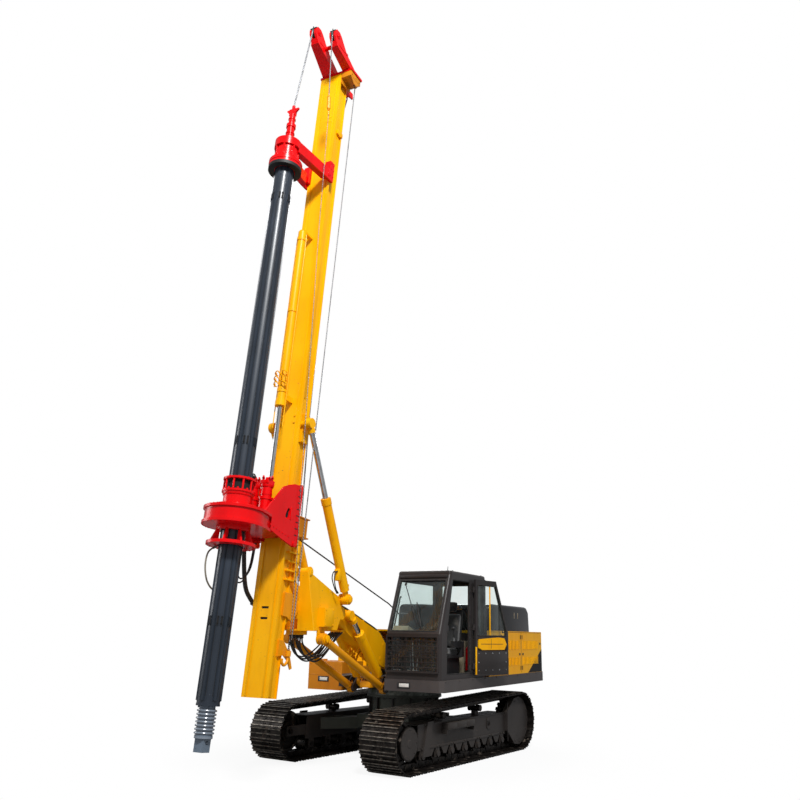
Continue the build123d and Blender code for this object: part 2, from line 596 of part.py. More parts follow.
def make_cab_glass():
    gap = SEAT
    front_x = (CAB_INNER_X + CAB_POST + gap, CAB_OUTER_X - CAB_POST - gap)
    inset = CAB_FRONT_Y + GLASS_INSET
    lower = block(front_x, (inset, inset + GLASS), (LOWER_SCREEN[0] + gap, LOWER_SCREEN[1] - gap))
    low = WINDSCREEN_BOTTOM + 1
    upper = prism_yz(((sloped_y(low, 18), low), (sloped_y(low, 18 + GLASS), low),
                      (sloped_y(WINDOW_TOP - 1, 18 + GLASS), WINDOW_TOP - 1),
                      (sloped_y(WINDOW_TOP - 1, 18), WINDOW_TOP - 1)), front_x)
    rear = block((CAB_INNER_X + 120 + gap, CAB_OUTER_X - 120 - gap),
                 (CAB_REAR_Y - GLASS_INSET - GLASS, CAB_REAR_Y - GLASS_INSET),
                 (WINDOW_BOTTOM + 60 + gap, WINDOW_TOP - gap))
    right = prism_yz(((-1480 + gap, WINDOW_BOTTOM + gap), (-1480 + gap, 1990),
                      (sloped_y(WINDOW_TOP, 95) + gap, WINDOW_TOP - gap), (60 - gap, WINDOW_TOP - gap),
                      (60 - gap, WINDOW_BOTTOM + gap)),
                     (CAB_INNER_X + GLASS_INSET, CAB_INNER_X + GLASS_INSET + GLASS))
    quarter = block((CAB_OUTER_X - GLASS_INSET - GLASS, CAB_OUTER_X - GLASS_INSET),
                    (QUARTER_WINDOW[0] + gap, QUARTER_WINDOW[1] - gap),
                    (WINDOW_BOTTOM + gap, WINDOW_TOP - gap))
    return [lower, upper, rear, right, quarter]


def make_front_guard():
    y = (CAB_FRONT_Y - 40, CAB_FRONT_Y - 22)
    outside = (CAB_INNER_X + 25, CAB_OUTER_X - 25)
    heights = (1385.0, 1920.0)
    guard = block(outside, y, heights) - block((outside[0] + 22, outside[1] - 22), (y[0] - 1, y[1] + 1),
                                               (heights[0] + 22, heights[1] - 22))
    for z in spaced(heights[0], heights[1], 8)[1:-1]:
        guard += block(outside, (y[0], y[0] + 10), (z - 6, z + 6))
    for x in spaced(outside[0], outside[1], 9)[1:-1]:
        guard += block((x - 5, x + 5), (y[0] + 8, y[1]), heights)
    for x in (outside[0] + 11, outside[1] - 11):
        for z in (heights[0] + 30, heights[1] - 30):
            guard += block((x - 11, x + 11), (y[0], CAB_FRONT_Y - SEAT), (z - 11, z + 11))
    return guard


DOOR_X = (DOOR_HINGE_X - 24.0, DOOR_HINGE_X - 24.0 + DOOR_THICK)


def door_turn(solid):
    hinge = Pos(DOOR_HINGE_X, DOOR_HINGE_Y, 0)
    return hinge * Rot(0, 0, DOOR_OPEN) * hinge.inverse() * solid


def make_cab_door():
    top_front = DOOR_SPAN[1] - DOOR_TOP_SPAN
    outline = ((DOOR_SPAN[1], DOOR_BOTTOM), (DOOR_SPAN[1], DOOR_TOP), (top_front, DOOR_TOP),
               (DOOR_SPAN[0], 1990), (DOOR_SPAN[0], DOOR_BOTTOM))
    door = prism_yz(outline, DOOR_X)
    w = 55
    window = ((DOOR_SPAN[1] - w, DOOR_WINDOW[0]), (DOOR_SPAN[1] - w, DOOR_WINDOW[1]),
              (top_front + 5, DOOR_WINDOW[1]), (DOOR_SPAN[0] + w, 2010), (DOOR_SPAN[0] + w, DOOR_WINDOW[0]))
    door -= prism_yz(window, (DOOR_X[0] - 1, DOOR_X[1] + 1))
    door -= block((DOOR_X[0] - 1, DOOR_X[0] + 22), (DOOR_SPAN[0] + w, DOOR_SPAN[1] - w),
                  (DOOR_BOTTOM + w, DOOR_WINDOW[0] - w))
    for z in HINGE_ZS:
        knuckle = round_z((DOOR_HINGE_X, DOOR_HINGE_Y), HINGE_KNUCKLE, (z - 30, z + 30))
        knuckle += block((DOOR_X[0] + 10, DOOR_HINGE_X + 8), (DOOR_SPAN[1] - 1, DOOR_HINGE_Y - 4),
                         (z - 30, z + 30))
        knuckle -= round_z((DOOR_HINGE_X, DOOR_HINGE_Y), HINGE_PIN + PIN_FIT, (z - 31, z + 31))
        door += knuckle
    centre = (sum(y for y, z in window) / len(window), sum(z for y, z in window) / len(window))
    shrink = 0.9988
    pane = [(centre[0] + (y - centre[0]) * shrink, centre[1] + (z - centre[1]) * shrink) for y, z in window]
    return door, prism_yz(pane, (DOOR_X[0] + 14, DOOR_X[0] + 14 + GLASS))


SEAT_X = 985.0
SEAT_Y = -560.0


def make_seat():
    floor = DECK_TOP + FLOOR_DEPTH + SEAT
    base_box = block((SEAT_X - 200, SEAT_X + 200), (SEAT_Y - 220, SEAT_Y + 230), (floor, floor + 260))
    pan = block((SEAT_X - 235, SEAT_X + 235), (SEAT_Y - 260, SEAT_Y + 250), (floor + 259, floor + 300))
    back = prism_yz(((SEAT_Y + 215, floor + 299), (SEAT_Y + 250, floor + 299),
                     (SEAT_Y + 390, floor + 1020), (SEAT_Y + 355, floor + 1020)),
                     (SEAT_X - 205, SEAT_X + 205))
    frame = base_box + pan + back
    for side in (-1, 1):
        arm = sorted((SEAT_X + side * 240, SEAT_X + side * 300))
        post = sorted((SEAT_X + side * 234, SEAT_X + side * 300))
        frame += block(post, (SEAT_Y + 120, SEAT_Y + 200), (floor + 270, floor + 420))
        frame += block(arm, (SEAT_Y - 190, SEAT_Y + 200), (floor + 419, floor + 520))
    cushion = block((SEAT_X - 225, SEAT_X + 225), (SEAT_Y - 265, SEAT_Y + 190),
                    (floor + 300 + SEAT, floor + 405))
    rest = prism_yz(((SEAT_Y + 105, floor + 410), (SEAT_Y + 235, floor + 410),
                     (SEAT_Y + 344, floor + 965), (SEAT_Y + 230, floor + 965)),
                     (SEAT_X - 215, SEAT_X + 215))
    head = prism_yz(((SEAT_Y + 255, floor + 985), (SEAT_Y + 347, floor + 985),
                     (SEAT_Y + 382, floor + 1150), (SEAT_Y + 290, floor + 1150)),
                     (SEAT_X - 120, SEAT_X + 120))
    frame += prism_yz(((SEAT_Y + 351.5, floor + 1000), (SEAT_Y + 375, floor + 1000),
                       (SEAT_Y + 400, floor + 1125), (SEAT_Y + 378, floor + 1125)),
                       (SEAT_X - 60, SEAT_X + 60))
    return frame, [cushion, rest, head]


def make_consoles():
    floor = DECK_TOP + FLOOR_DEPTH + SEAT
    dash = prism_yz(((CAB_FRONT_Y + 70, floor), (CAB_FRONT_Y + 70, floor + 640),
                     (CAB_FRONT_Y + 130, floor + 740),
                     (CAB_FRONT_Y + 300, floor + 690), (CAB_FRONT_Y + 240, floor)),
                     (CAB_INNER_X + 70, CAB_INNER_X + 330))
    side_box = block((CAB_INNER_X + 56, CAB_INNER_X + 155), (-1150, -60), (floor, floor + 480))
    rear_box = block((CAB_INNER_X + 160, CAB_OUTER_X - 60), (CAB_REAR_Y - 235, CAB_REAR_Y - 56),
                     (floor, floor + 520))
    return [dash, side_box, rear_box]


def make_body_cover(side):
    x = (BODY_INNER_X, UPPER_HALF_WIDTH)
    front = CAB_REAR_Y + 30
    w = COVER_WALL
    cover = block(x, (front, BODY_REAR_Y), (DECK_TOP + SEAT, BODY_TOP_Z))
    cover -= block((x[0] - 1, x[1] - w), (front + w, BODY_REAR_Y - w), (DECK_TOP - 1, BODY_TOP_Z - w))
    return cover if side > 0 else mirror(cover, about=Plane.YZ)


def make_inner_cover():
    """Low cover between the two body covers, behind the winch and under the hood."""
    z = BODY_TOP_Z - COVER_WALL
    return block((-BODY_INNER_X + SEAT, BODY_INNER_X - SEAT), (1080, 2330), (z, BODY_TOP_Z))


def make_hood():
    x = HOOD_X
    outline = ((HOOD_FRONT_Y, BODY_TOP_Z + SEAT), (HOOD_FRONT_Y + 40, HOOD_TOP_Z - 60),
               (HOOD_FRONT_Y + 120, HOOD_TOP_Z),
               (HOOD_REAR_Y - 160, HOOD_TOP_Z), (HOOD_REAR_Y - 40, HOOD_TOP_Z - 90),
               (HOOD_REAR_Y, BODY_TOP_Z + SEAT))
    hood = prism_yz(outline, x)
    w = HOOD_WALL
    inside = ((HOOD_FRONT_Y + w, BODY_TOP_Z - 1), (HOOD_FRONT_Y + 60 + w, HOOD_TOP_Z - 60 - w),
              (HOOD_FRONT_Y + 130 + w, HOOD_TOP_Z - w), (HOOD_REAR_Y - 170 - w, HOOD_TOP_Z - w),
              (HOOD_REAR_Y - 60 - w, HOOD_TOP_Z - 90 - w), (HOOD_REAR_Y - w, BODY_TOP_Z - 1))
    return hood - prism_yz(inside, (x[0] + w, x[1] - w))


def make_counterweight():
    x = BODY_INNER_X - SEAT
    weight = block((-x, x), (2340, REAR_Y - 30), (DECK_TOP + SEAT, BODY_TOP_Z - SEAT))
    notch = prism_yz(((REAR_Y - 29, DECK_TOP), (REAR_Y - 29, DECK_TOP + 200), (REAR_Y - 100, DECK_TOP)),
                     (-x - 1, x + 1))
    return weight - notch


def make_tank():
    x = (TANK_OUTER_X, TANK_INNER_X)
    tank = block(x, (TANK_FRONT_Y, TANK_REAR_Y), (TANK_BOTTOM_Z, TANK_TOP_Z))
    return tank + block(x, (TANK_REAR_Y - 1, CAB_REAR_Y + 29), (DECK_TOP + SEAT, TANK_TOP_Z - TANK_STEP))


def make_winch():
    inside = WINCH_HALF_WIDTH + RUN
    frame = None
    for side in (-1, 1):
        plate = belt_x((WINCH_Y, WINCH_Z), 130, (WINCH_Y + 30, DECK_TOP + 190), 190,
                       (inside, inside + WINCH_PLATE))
        plate -= block((0, 600), (0, 1500), (0, DECK_TOP + SEAT))
        plate += block((inside, inside + WINCH_PLATE), (WINCH_Y - 230, WINCH_Y + 260),
                       (DECK_TOP + SEAT, DECK_TOP + 60))
        plate = plate if side > 0 else mirror(plate, about=Plane.YZ)
        frame = plate if frame is None else frame + plate
    outside = inside + WINCH_PLATE
    frame += round_x((WINCH_Y, WINCH_Z), WINCH_SHAFT, (-outside, outside))
    frame += block((-outside, outside), (WINCH_Y - 180, WINCH_Y + 200), (DECK_TOP + SEAT, DECK_TOP + 24))
    drum = round_x((WINCH_Y, WINCH_Z), WINCH_DRUM_RADIUS, (-WINCH_HALF_WIDTH, WINCH_HALF_WIDTH))
    for side in (-1, 1):
        x = sorted((side * WINCH_HALF_WIDTH, side * (WINCH_HALF_WIDTH - 24)))
        drum += round_x((WINCH_Y, WINCH_Z), WINCH_FLANGE_RADIUS, x)
    return frame, drum - round_x((WINCH_Y, WINCH_Z), WINCH_SHAFT + PIN_FIT, (-inside, inside))


seat_frame, seat_pads = make_seat()
door_panel, door_pane = make_cab_door()
winch_frame, winch_drum = make_winch()
parts["revolving_frame"] = [make_revolving_frame()]
parts["cab_frame"] = [make_cab_frame()]
parts["cab_roof"] = [make_cab_roof()]
parts["cab_floor"] = [make_cab_floor()]
parts["cab_glass"] = make_cab_glass()
parts["front_guard"] = [make_front_guard()]
parts["seat_frame"] = [seat_frame]
parts["seat_cushion"] = seat_pads
parts["cab_consoles"] = make_consoles()
parts["left_body_cover"] = [make_body_cover(1)]
parts["right_body_cover"] = [make_body_cover(-1)]
parts["middle_cover"] = [make_inner_cover()]
parts["engine_hood"] = [make_hood()]
parts["engine_block"] = [block((-420, 420), (1200, 2000), (DECK_TOP + SEAT, 1900))]
parts["counterweight"] = [make_counterweight()]
parts["front_tank"] = [make_tank()]
parts["winch_frame"] = [winch_frame]
parts["winch_drum"] = [winch_drum]
parts["cab_door"] = [door_turn(door_panel)]
parts["door_glass"] = [door_turn(door_pane)]


# ---- boom parallelogram and its cylinders ----
TRIANGLE_TOP = (-3330.0, 2760.0)
TRIANGLE_FRONT_Y = -3400.0
TRIANGLE_FLOOR_Z = 1960.0
FLANGE_THICK = 25.0
HINGE_BARREL = 85.0
HINGE_HALF = 120.0


def make_boom():
    root = side_point(BOOM_FOOT, LINK_ANGLE, 0, 0)
    half = BOOM_HALF_WIDTH
    lower_rear = side_point(BOOM_FOOT, LINK_ANGLE, 250, -150)
    lower_front = side_point(BOOM_FOOT, LINK_ANGLE, LINK_LENGTH - 260, -95)
    upper_front = side_point(BOOM_FOOT, LINK_ANGLE, LINK_LENGTH - 330, 205)
    upper_mid = side_point(BOOM_FOOT, LINK_ANGLE, 520, 300)
    upper_rear = side_point(BOOM_FOOT, LINK_ANGLE, 180, 190)
    tip_top = side_point(BOOM_FOOT, LINK_ANGLE, LINK_LENGTH, 92)
    tip_low = side_point(BOOM_FOOT, LINK_ANGLE, LINK_LENGTH, -92)
    foot_low = side_point(BOOM_FOOT, LINK_ANGLE, 0, -100)
    foot_top = side_point(BOOM_FOOT, LINK_ANGLE, 0, 100)
    outline = (foot_low, lower_rear, lower_front, tip_low, tip_top, upper_front, upper_mid, upper_rear,
               foot_top)
    shell = prism_yz(outline, (-half, half))
    shell += round_x(root, 100, (-half, half)) + round_x(BOOM_TIP, 92, (-half, half))
    w = BOOM_WALL
    inset = (
        side_point(BOOM_FOOT, LINK_ANGLE, 270, -150 + w),
        side_point(BOOM_FOOT, LINK_ANGLE, LINK_LENGTH - 280, -95 + w),
        side_point(BOOM_FOOT, LINK_ANGLE, LINK_LENGTH - 350, 205 - w),
        side_point(BOOM_FOOT, LINK_ANGLE, 540, 300 - w),
        side_point(BOOM_FOOT, LINK_ANGLE, 270, 220 - w),
    )
    boom = shell - prism_yz(inset, (-half + w, half - w))
    vent = side_point(BOOM_FOOT, LINK_ANGLE, 700, -120)
    boom -= block((-50, 50), (vent[0] - 90, vent[0] + 90), (vent[1] - 120, vent[1] + 60))
    boom -= round_x(BOOM_FOOT, PIN_RADIUS + PIN_FIT, (-half - 1, half + 1))
    boom -= round_x(BOOM_TIP, PIN_RADIUS + PIN_FIT, (-half - 1, half + 1))
    for side in (-1, 1):
        boom += round_x(LUFF_EYE, 64,
                        sorted((side * (half - 1), side * (LUFF_X - LUFF_EYE_HALF - SLIDE_FIT))))
    return boom


def make_links():
    links = []
    for side in (1, -1):
        x = side * LINK_X
        run = LINK_LENGTH
        plane = Plane(origin=(x, *LINK_FOOT), x_dir=(1, 0, 0),
                      z_dir=(0, LINK_TIP[0] - LINK_FOOT[0], LINK_TIP[1] - LINK_FOOT[1]))
        bar = plane.location * Pos(0, 0, run / 2) * Cylinder(LINK_RADIUS, run - 2 * LINK_NECK)
        bar += plane.location * Pos(0, 0, run / 2) * Cylinder(LINK_EYE_HALF - 2, run - EYE_RADIUS)
        for centre in (LINK_FOOT, LINK_TIP):
            bar += round_x(centre, EYE_RADIUS, (x - LINK_EYE_HALF, x + LINK_EYE_HALF))
        for centre in (LINK_FOOT, LINK_TIP):
            bar -= round_x(centre, PIN_RADIUS + PIN_FIT, (x - 80, x + 80))
        links.append(bar)
    return links


def make_cylinder(x, foot, eye, outer, bore, rod, barrel, reserve, eye_half):
    """A barrel with its foot eye and gland, and a rod with its piston and eye."""
    length = hypot(eye[0] - foot[0], eye[1] - foot[1])
    plane = Plane(origin=(x, *foot), x_dir=(1, 0, 0), z_dir=(0, eye[0] - foot[0], eye[1] - foot[1]))
    start = 2 * outer
    gland = barrel - 60
    tube = Pos(0, 0, (start + barrel) / 2) * Cylinder(outer, barrel - start)
    tube += Pos(0, 0, barrel - 45) * Cylinder(outer + 5, 90)
    tube += Pos(0, 0, start / 2 + 20) * Cylinder(eye_half - 2, start - 38)
    tube -= Pos(0, 0, (start + 25 + gland) / 2) * Cylinder(bore, gland - start - 25)
    tube -= Pos(0, 0, gland) * Cylinder(rod + PIN_FIT, 200)
    tube = plane.location * tube
    tube += round_x(foot, EYE_RADIUS, (x - eye_half, x + eye_half))
    tube -= round_x(foot, PIN_RADIUS + PIN_FIT, (x - 200, x + 200))
    low = gland - reserve - 90
    neck = EYE_RADIUS + 12
    shaft = Pos(0, 0, (low + length - neck) / 2) * Cylinder(rod, length - neck - low)
    shaft += Pos(0, 0, low + 45) * Cylinder(bore - PIN_FIT, 90)
    shaft += Pos(0, 0, length - neck / 2 - 20) * Cylinder(min(rod, eye_half) - 2, neck - 38)
    shaft += Pos(0, 0, length - neck - 35) * Cylinder(rod + 12, 70)
    shaft = plane.location * shaft
    shaft += round_x(eye, EYE_RADIUS - 4, (x - eye_half, x + eye_half))
    return tube, shaft


def make_triangle():
    plate_x = (FRAME_PLATE_IN, FRAME_PLATE_OUT)
    outline = (
        TRIANGLE_TOP, (MAST_CYL_FOOT[0], MAST_CYL_FOOT[1]), BOOM_TIP,
        (BOOM_TIP[0] - 120, BOOM_TIP[1] - 240), (TRIANGLE_FRONT_Y, TRIANGLE_FLOOR_Z),
        (TRIANGLE_FRONT_Y, TRIANGLE_TOP[1]),
    )
    plate = prism_yz(outline, plate_x)
    for centre, radius in ((TRIANGLE_TOP, 75), (MAST_CYL_FOOT, 85), (BOOM_TIP, 90)):
        plate += round_x(centre, radius, plate_x)
    plate += prism_yz(((LINK_TIP[0] - 70, TRIANGLE_FLOOR_Z + 20), (LINK_TIP[0] - 70, LINK_TIP[1]),
                       (LINK_TIP[0] + 70, LINK_TIP[1]), (LINK_TIP[0] + 110, TRIANGLE_FLOOR_Z + 20)),
                       plate_x)
    plate += round_x(LINK_TIP, 80, plate_x)
    for centre, x, eye_half in ((LINK_TIP, LINK_X, LINK_EYE_HALF),
                                (MAST_CYL_FOOT, MAST_CYL_X, MAST_CYL_EYE_HALF)):
        eye = (x - eye_half - SLIDE_FIT, x + eye_half + SLIDE_FIT)
        plate += round_x(centre, PIN_RADIUS, (plate_x[0], eye[1] + 14))
        plate += collar(centre, (plate_x[1] - 1, eye[0])) + collar(centre, (eye[1], eye[1] + 14))
    flange = prism_yz(((TRIANGLE_FRONT_Y - FLANGE_THICK, TRIANGLE_FLOOR_Z),
                       (TRIANGLE_FRONT_Y, TRIANGLE_FLOOR_Z),
                       (TRIANGLE_FRONT_Y, TRIANGLE_TOP[1]),
                       (TRIANGLE_FRONT_Y - FLANGE_THICK, TRIANGLE_TOP[1])),
                      (140, 410))
    taper = ((275, TRIANGLE_TOP[1] + 1), (411, TRIANGLE_TOP[1] + 1), (411, TRIANGLE_FLOOR_Z))
    cut = Plane.XZ * make_face(Polyline(*taper, close=True))
    flange -= Pos(0, TRIANGLE_FRONT_Y - 100, 0) * extrude(cut, amount=200, dir=(0, 1, 0))
    half = plate + flange
    half += block((FRAME_PLATE_OUT - 1, 340), (-3060, -2820),
                  (TRIANGLE_FLOOR_Z + 60, TRIANGLE_FLOOR_Z + 320))
    frame = half + mirror(half, about=Plane.YZ)
    inside = FRAME_PLATE_IN + 1
    frame += block((-inside, inside), (TRIANGLE_FRONT_Y - 1, BOOM_TIP[0] - 150),
                   (TRIANGLE_FLOOR_Z, TRIANGLE_FLOOR_Z + 22))
    frame += block((-150, 150), (TRIANGLE_FRONT_Y - FLANGE_THICK, TRIANGLE_FRONT_Y),
                   (HINGE[1] - 120, HINGE[1] + 120))
    frame += block((-HINGE_HALF, HINGE_HALF), (HINGE[0], TRIANGLE_FRONT_Y), (HINGE[1] - 60, HINGE[1] + 60))
    frame += round_x(HINGE, HINGE_BARREL, (-HINGE_HALF, HINGE_HALF))
    frame += round_x(TRIANGLE_TOP, 60, (-inside, inside))
    frame += round_x(BOOM_TIP, PIN_RADIUS, (-inside, inside))
    for side in (-1, 1):
        x = sorted((side * (BOOM_HALF_WIDTH + SLIDE_FIT), side * inside))
        frame += round_x(BOOM_TIP, PIN_RADIUS + 22, x)
    return frame - round_x(HINGE, PIN_RADIUS + PIN_FIT, (-HINGE_HALF - 1, HINGE_HALF + 1))


parts["boom"] = [make_boom()]
parts["lower_links"] = make_links()
parts["triangle_frame"] = [make_triangle()]
mast_eye_turn = radians(MAST_LEAN)
MAST_EYE_ROW = (
    HINGE[0] + MAST_EYE[0] * cos(mast_eye_turn) + MAST_EYE[1] * sin(mast_eye_turn),
    HINGE[1] - MAST_EYE[0] * sin(mast_eye_turn) + MAST_EYE[1] * cos(mast_eye_turn),
)
for side in (1, -1):
    for name, x, foot, eye, outer, rod, barrel, reserve, eye_half in (
        ("luff", LUFF_X, LUFF_FOOT, LUFF_EYE, LUFF_RADIUS, LUFF_ROD, LUFF_BARREL, LUFF_RESERVE,
         LUFF_EYE_HALF),
        ("mast", MAST_CYL_X, MAST_CYL_FOOT, MAST_EYE_ROW, MAST_CYL_RADIUS, MAST_CYL_ROD, MAST_CYL_BARREL,
         MAST_CYL_RESERVE, MAST_CYL_EYE_HALF),
    ):
        tube, shaft = make_cylinder(side * x, foot, eye, outer, outer - 14, rod, barrel, reserve, eye_half)
        parts.setdefault(f"{name}_cylinder_barrels", []).append(tube)
        parts.setdefault(f"{name}_cylinder_rods", []).append(shaft)


# ---- mast, drive, kelly and head, built upright about the mast hinge ----
MAST_BACK = MAST_FRONT + MAST_DEPTH
KELLY_Y = MAST_FRONT - KELLY_OFFSET
kelly = (0.0, KELLY_Y)
upright = {}


def make_mast():
    z = (MAST_BOTTOM, MAST_TOP)
    rail = block((-MAST_FLANGE_HALF, MAST_FLANGE_HALF), (MAST_FRONT, MAST_FRONT + RAIL_THICK), z)
    rear = block((-MAST_REAR_HALF, MAST_REAR_HALF), (MAST_BACK - MAST_PLATE, MAST_BACK), z)
    box = block((-MAST_BOX_HALF, MAST_BOX_HALF), (MAST_FRONT + RAIL_THICK - 1, MAST_BACK - MAST_PLATE + 1),
                z)
    inner = MAST_BOX_HALF - MAST_PLATE
    box -= block((-inner, inner), (MAST_FRONT + RAIL_THICK - 2, MAST_BACK - MAST_PLATE + 2),
                 (z[0] - 1, z[1] + 1))
    mast = rail + rear + box
    ear = ((MAST_BACK - 1, 330), (MAST_BACK - 1, -260), (-60, -110), (0, -88), (60, -60), (88, 0), (60, 60),
           (0, 88))
    for side in (-1, 1):
        x = sorted((side * (HINGE_HALF + SLIDE_FIT), side * MAST_BOX_HALF))
        mast += prism_yz(ear, x)
        mast += round_x((0, 0), PIN_RADIUS, sorted((side * (HINGE_HALF - 60), side * (MAST_BOX_HALF + 20))))
        eye_x = sorted((side * (MAST_BOX_HALF - 1), side * (MAST_CYL_X - MAST_CYL_EYE_HALF - SLIDE_FIT)))
        mast += round_x(MAST_EYE, MAST_EYE_BOSS, eye_x)
        gusset = sorted((side * (MAST_BOX_HALF - 1), side * (MAST_BOX_HALF + 60)))
        y = (MAST_EYE[0], MAST_BACK - MAST_PLATE - 5)
        mast += block(gusset, y, (MAST_EYE[1] - 260, MAST_EYE[1] + 160))
    for z0 in (-30, -170):
        mast -= block((-60, 60), (MAST_FRONT - 1, MAST_FRONT + RAIL_THICK + 1), (z0 - 15, z0 + 15))
    lugs = block((-40, 40), (CROWD_Y - 30, MAST_FRONT + 1), (CROWD_BARREL[1] + SEAT, CROWD_BARREL[1] + 40))
    lugs += block((-40, 40), (CROWD_Y + CROWD_RADIUS + SEAT, MAST_FRONT + 1),
                  (CROWD_BARREL[0] + 120, CROWD_BARREL[0] + 200))
    return mast + lugs


def make_head():
    """Head: base plate, two raked sheave arms that flare at the foot, and a rear sheave housing."""
    base_z = MAST_TOP + SEAT
    head = block((-MAST_FLANGE_HALF - 10, 430), (MAST_FRONT - 10, MAST_BACK + 60), (base_z, base_z + 40))
    head += block((MAST_FLANGE_HALF + 12, 410), (MAST_FRONT, MAST_BACK + 40),
                  (base_z - HEAD_BOX, base_z + 1))
    for (x, y, z), half, flare in ((MAIN_SHEAVE, 68.0, 130.0), (AUX_SHEAVE, 60.0, 55.0)):
        outline = ((MAST_FRONT, base_z + 39), (y, z - 205), (y - 92, z - 60), (y - 102, z + 20),
                   (y - 60, z + 92),
                   (y + 30, z + 102), (y + 95, z + 60), (y + 290, z - 130), (MAST_BACK + 20, base_z + 39))
        arm = prism_yz(outline, (x - half - flare, x + half))
        side = ((x - half - flare - 1, base_z), (x - half - flare, base_z), (x - half, z - 170),
                (x - half, z + 200),
                (x - half - flare - 1, z + 200))
        spare = extrude(Plane.XZ * make_face(Polyline(*side, close=True)), amount=4000, both=True)
        slot = SHEAVE_HALF + RUN
        arm -= spare
        arm -= block((x - slot, x + slot), (y - 300, y + 150), (z - SHEAVE_RADIUS - 18, z + 300))
        head += arm + round_x((y, z), SHEAVE_PIN, (x - half, x + half))
    head += block((60, AUX_SHEAVE[0] - 55), (-820, -770), (base_z + 262, base_z + 307))
    rear = ((MAST_BACK + 5, base_z + 39), (MAST_BACK + 300, base_z + 60), (MAST_BACK + 320, base_z - 40),
            (MAST_BACK + 150, base_z - 80), (MAST_BACK + 5, base_z - 120))
    for x in (-90.0, 60.0):
        head += prism_yz(rear, (x, x + 30))
    head += block((-90, 90), (MAST_BACK + 10, MAST_BACK + 40), (base_z - 100, base_z + 30))
    head += round_x((MAST_BACK + 250, base_z + 10), 30, (-90, 90))
    return head


def make_sheave(centre, bore):
    x, y, z = centre
    wheel = round_x((y, z), SHEAVE_RADIUS, (x - SHEAVE_HALF, x + SHEAVE_HALF))
    groove = round_x((y, z), SHEAVE_RADIUS + 1, (x - 11, x + 11))
    groove -= round_x((y, z), SHEAVE_RADIUS - 22, (x - 12, x + 12))
    return wheel - groove - round_x((y, z), bore + PIN_FIT, (x - 90, x + 90))


def make_crowd_barrel():
    z0, z1 = CROWD_BARREL
    tube = round_z((0, CROWD_Y), CROWD_RADIUS, (z0, z1))
    tube += round_z((0, CROWD_Y), CROWD_RADIUS + 14, (z0, z0 + 70))
    tube -= round_z((0, CROWD_Y), CROWD_BORE, (z0 + 50, z1 - 40))
    return tube - round_z((0, CROWD_Y), CROWD_ROD + PIN_FIT, (z0 - 1, z0 + 51))


def make_crowd_rod():
    rod = round_z((0, CROWD_Y), CROWD_ROD, (CROWD_ROD_EYE, CROWD_ROD_TOP))
    rod += round_z((0, CROWD_Y), CROWD_BORE - PIN_FIT, (CROWD_ROD_TOP - 90, CROWD_ROD_TOP))
    eye = (CROWD_Y, CROWD_ROD_EYE)
    rod += round_x(eye, CROWD_EYE_RADIUS, (-32, 32))
    return rod - round_x(eye, CROWD_PIN + PIN_FIT, (-40, 40))


DRIVE_BACK = (0.0, -880.0)      # the drive housing narrows towards the mast round this centre
DRIVE_BACK_RADIUS = 262.0
DRIVE_RIM = 22.0
ADAPTER_COLLAR = 60.0


def make_gearbox():
    plan = belt(kelly, DRIVE_RADIUS, DRIVE_BACK, DRIVE_BACK_RADIUS)
    body = Pos(0, 0, DRIVE_BOTTOM) * extrude(plan, amount=DRIVE_TOP - DRIVE_BOTTOM, dir=(0, 0, 1))
    for z, depth in ((DRIVE_BOTTOM, 34), (DRIVE_TOP - 34, 34)):
        rim = belt(kelly, DRIVE_RADIUS + DRIVE_RIM, DRIVE_BACK, DRIVE_BACK_RADIUS + DRIVE_RIM)
        body += Pos(0, 0, z) * extrude(rim, amount=depth, dir=(0, 0, 1))
    body += block((-CARRIAGE_X + SEAT, CARRIAGE_X - SEAT), (-900, -520),
                  (DRIVE_BOTTOM + 35, DRIVE_TOP - 35))
    body += round_z(kelly, SLEEVE_RADIUS, (DRIVE_TOP - 1, CAGE_BOTTOM))
    body += round_z(kelly, SLEEVE_RADIUS - 8, (DRIVE_BOTTOM - ADAPTER_COLLAR, DRIVE_BOTTOM + 1))
    lug = block((-60, 60), (CROWD_Y - 50, CROWD_Y + 50), (DRIVE_TOP - 36, CROWD_ROD_EYE + 60))
    lug -= block((-34, 34), (CROWD_Y - 70, CROWD_Y + 70), (DRIVE_TOP + 40, CROWD_ROD_EYE + 90))
    body += lug + round_x((CROWD_Y, CROWD_ROD_EYE), CROWD_PIN, (-60, 60))
    return body - round_z(kelly, DRIVE_BORE, (0, 2000))


def make_cage():
    """Barred damping cage on the drive's sleeve: two rings joined by spacer posts."""
    cage = None
    for z in ((CAGE_BOTTOM + SEAT, CAGE_BOTTOM + 26), (CAGE_TOP - 26, CAGE_TOP)):
        ring = round_z(kelly, CAGE_RADIUS, z) - round_z(kelly, DRIVE_BORE, (z[0] - 1, z[1] + 1))
        cage = ring if cage is None else cage + ring
    for i in range(CAGE_POSTS):
        angle = 2 * pi * i / CAGE_POSTS
        post = (kelly[0] + (CAGE_RADIUS - 20) * cos(angle), kelly[1] + (CAGE_RADIUS - 20) * sin(angle))
        cage += round_z(post, 13, (CAGE_BOTTOM + 1, CAGE_TOP - 1))
    return cage


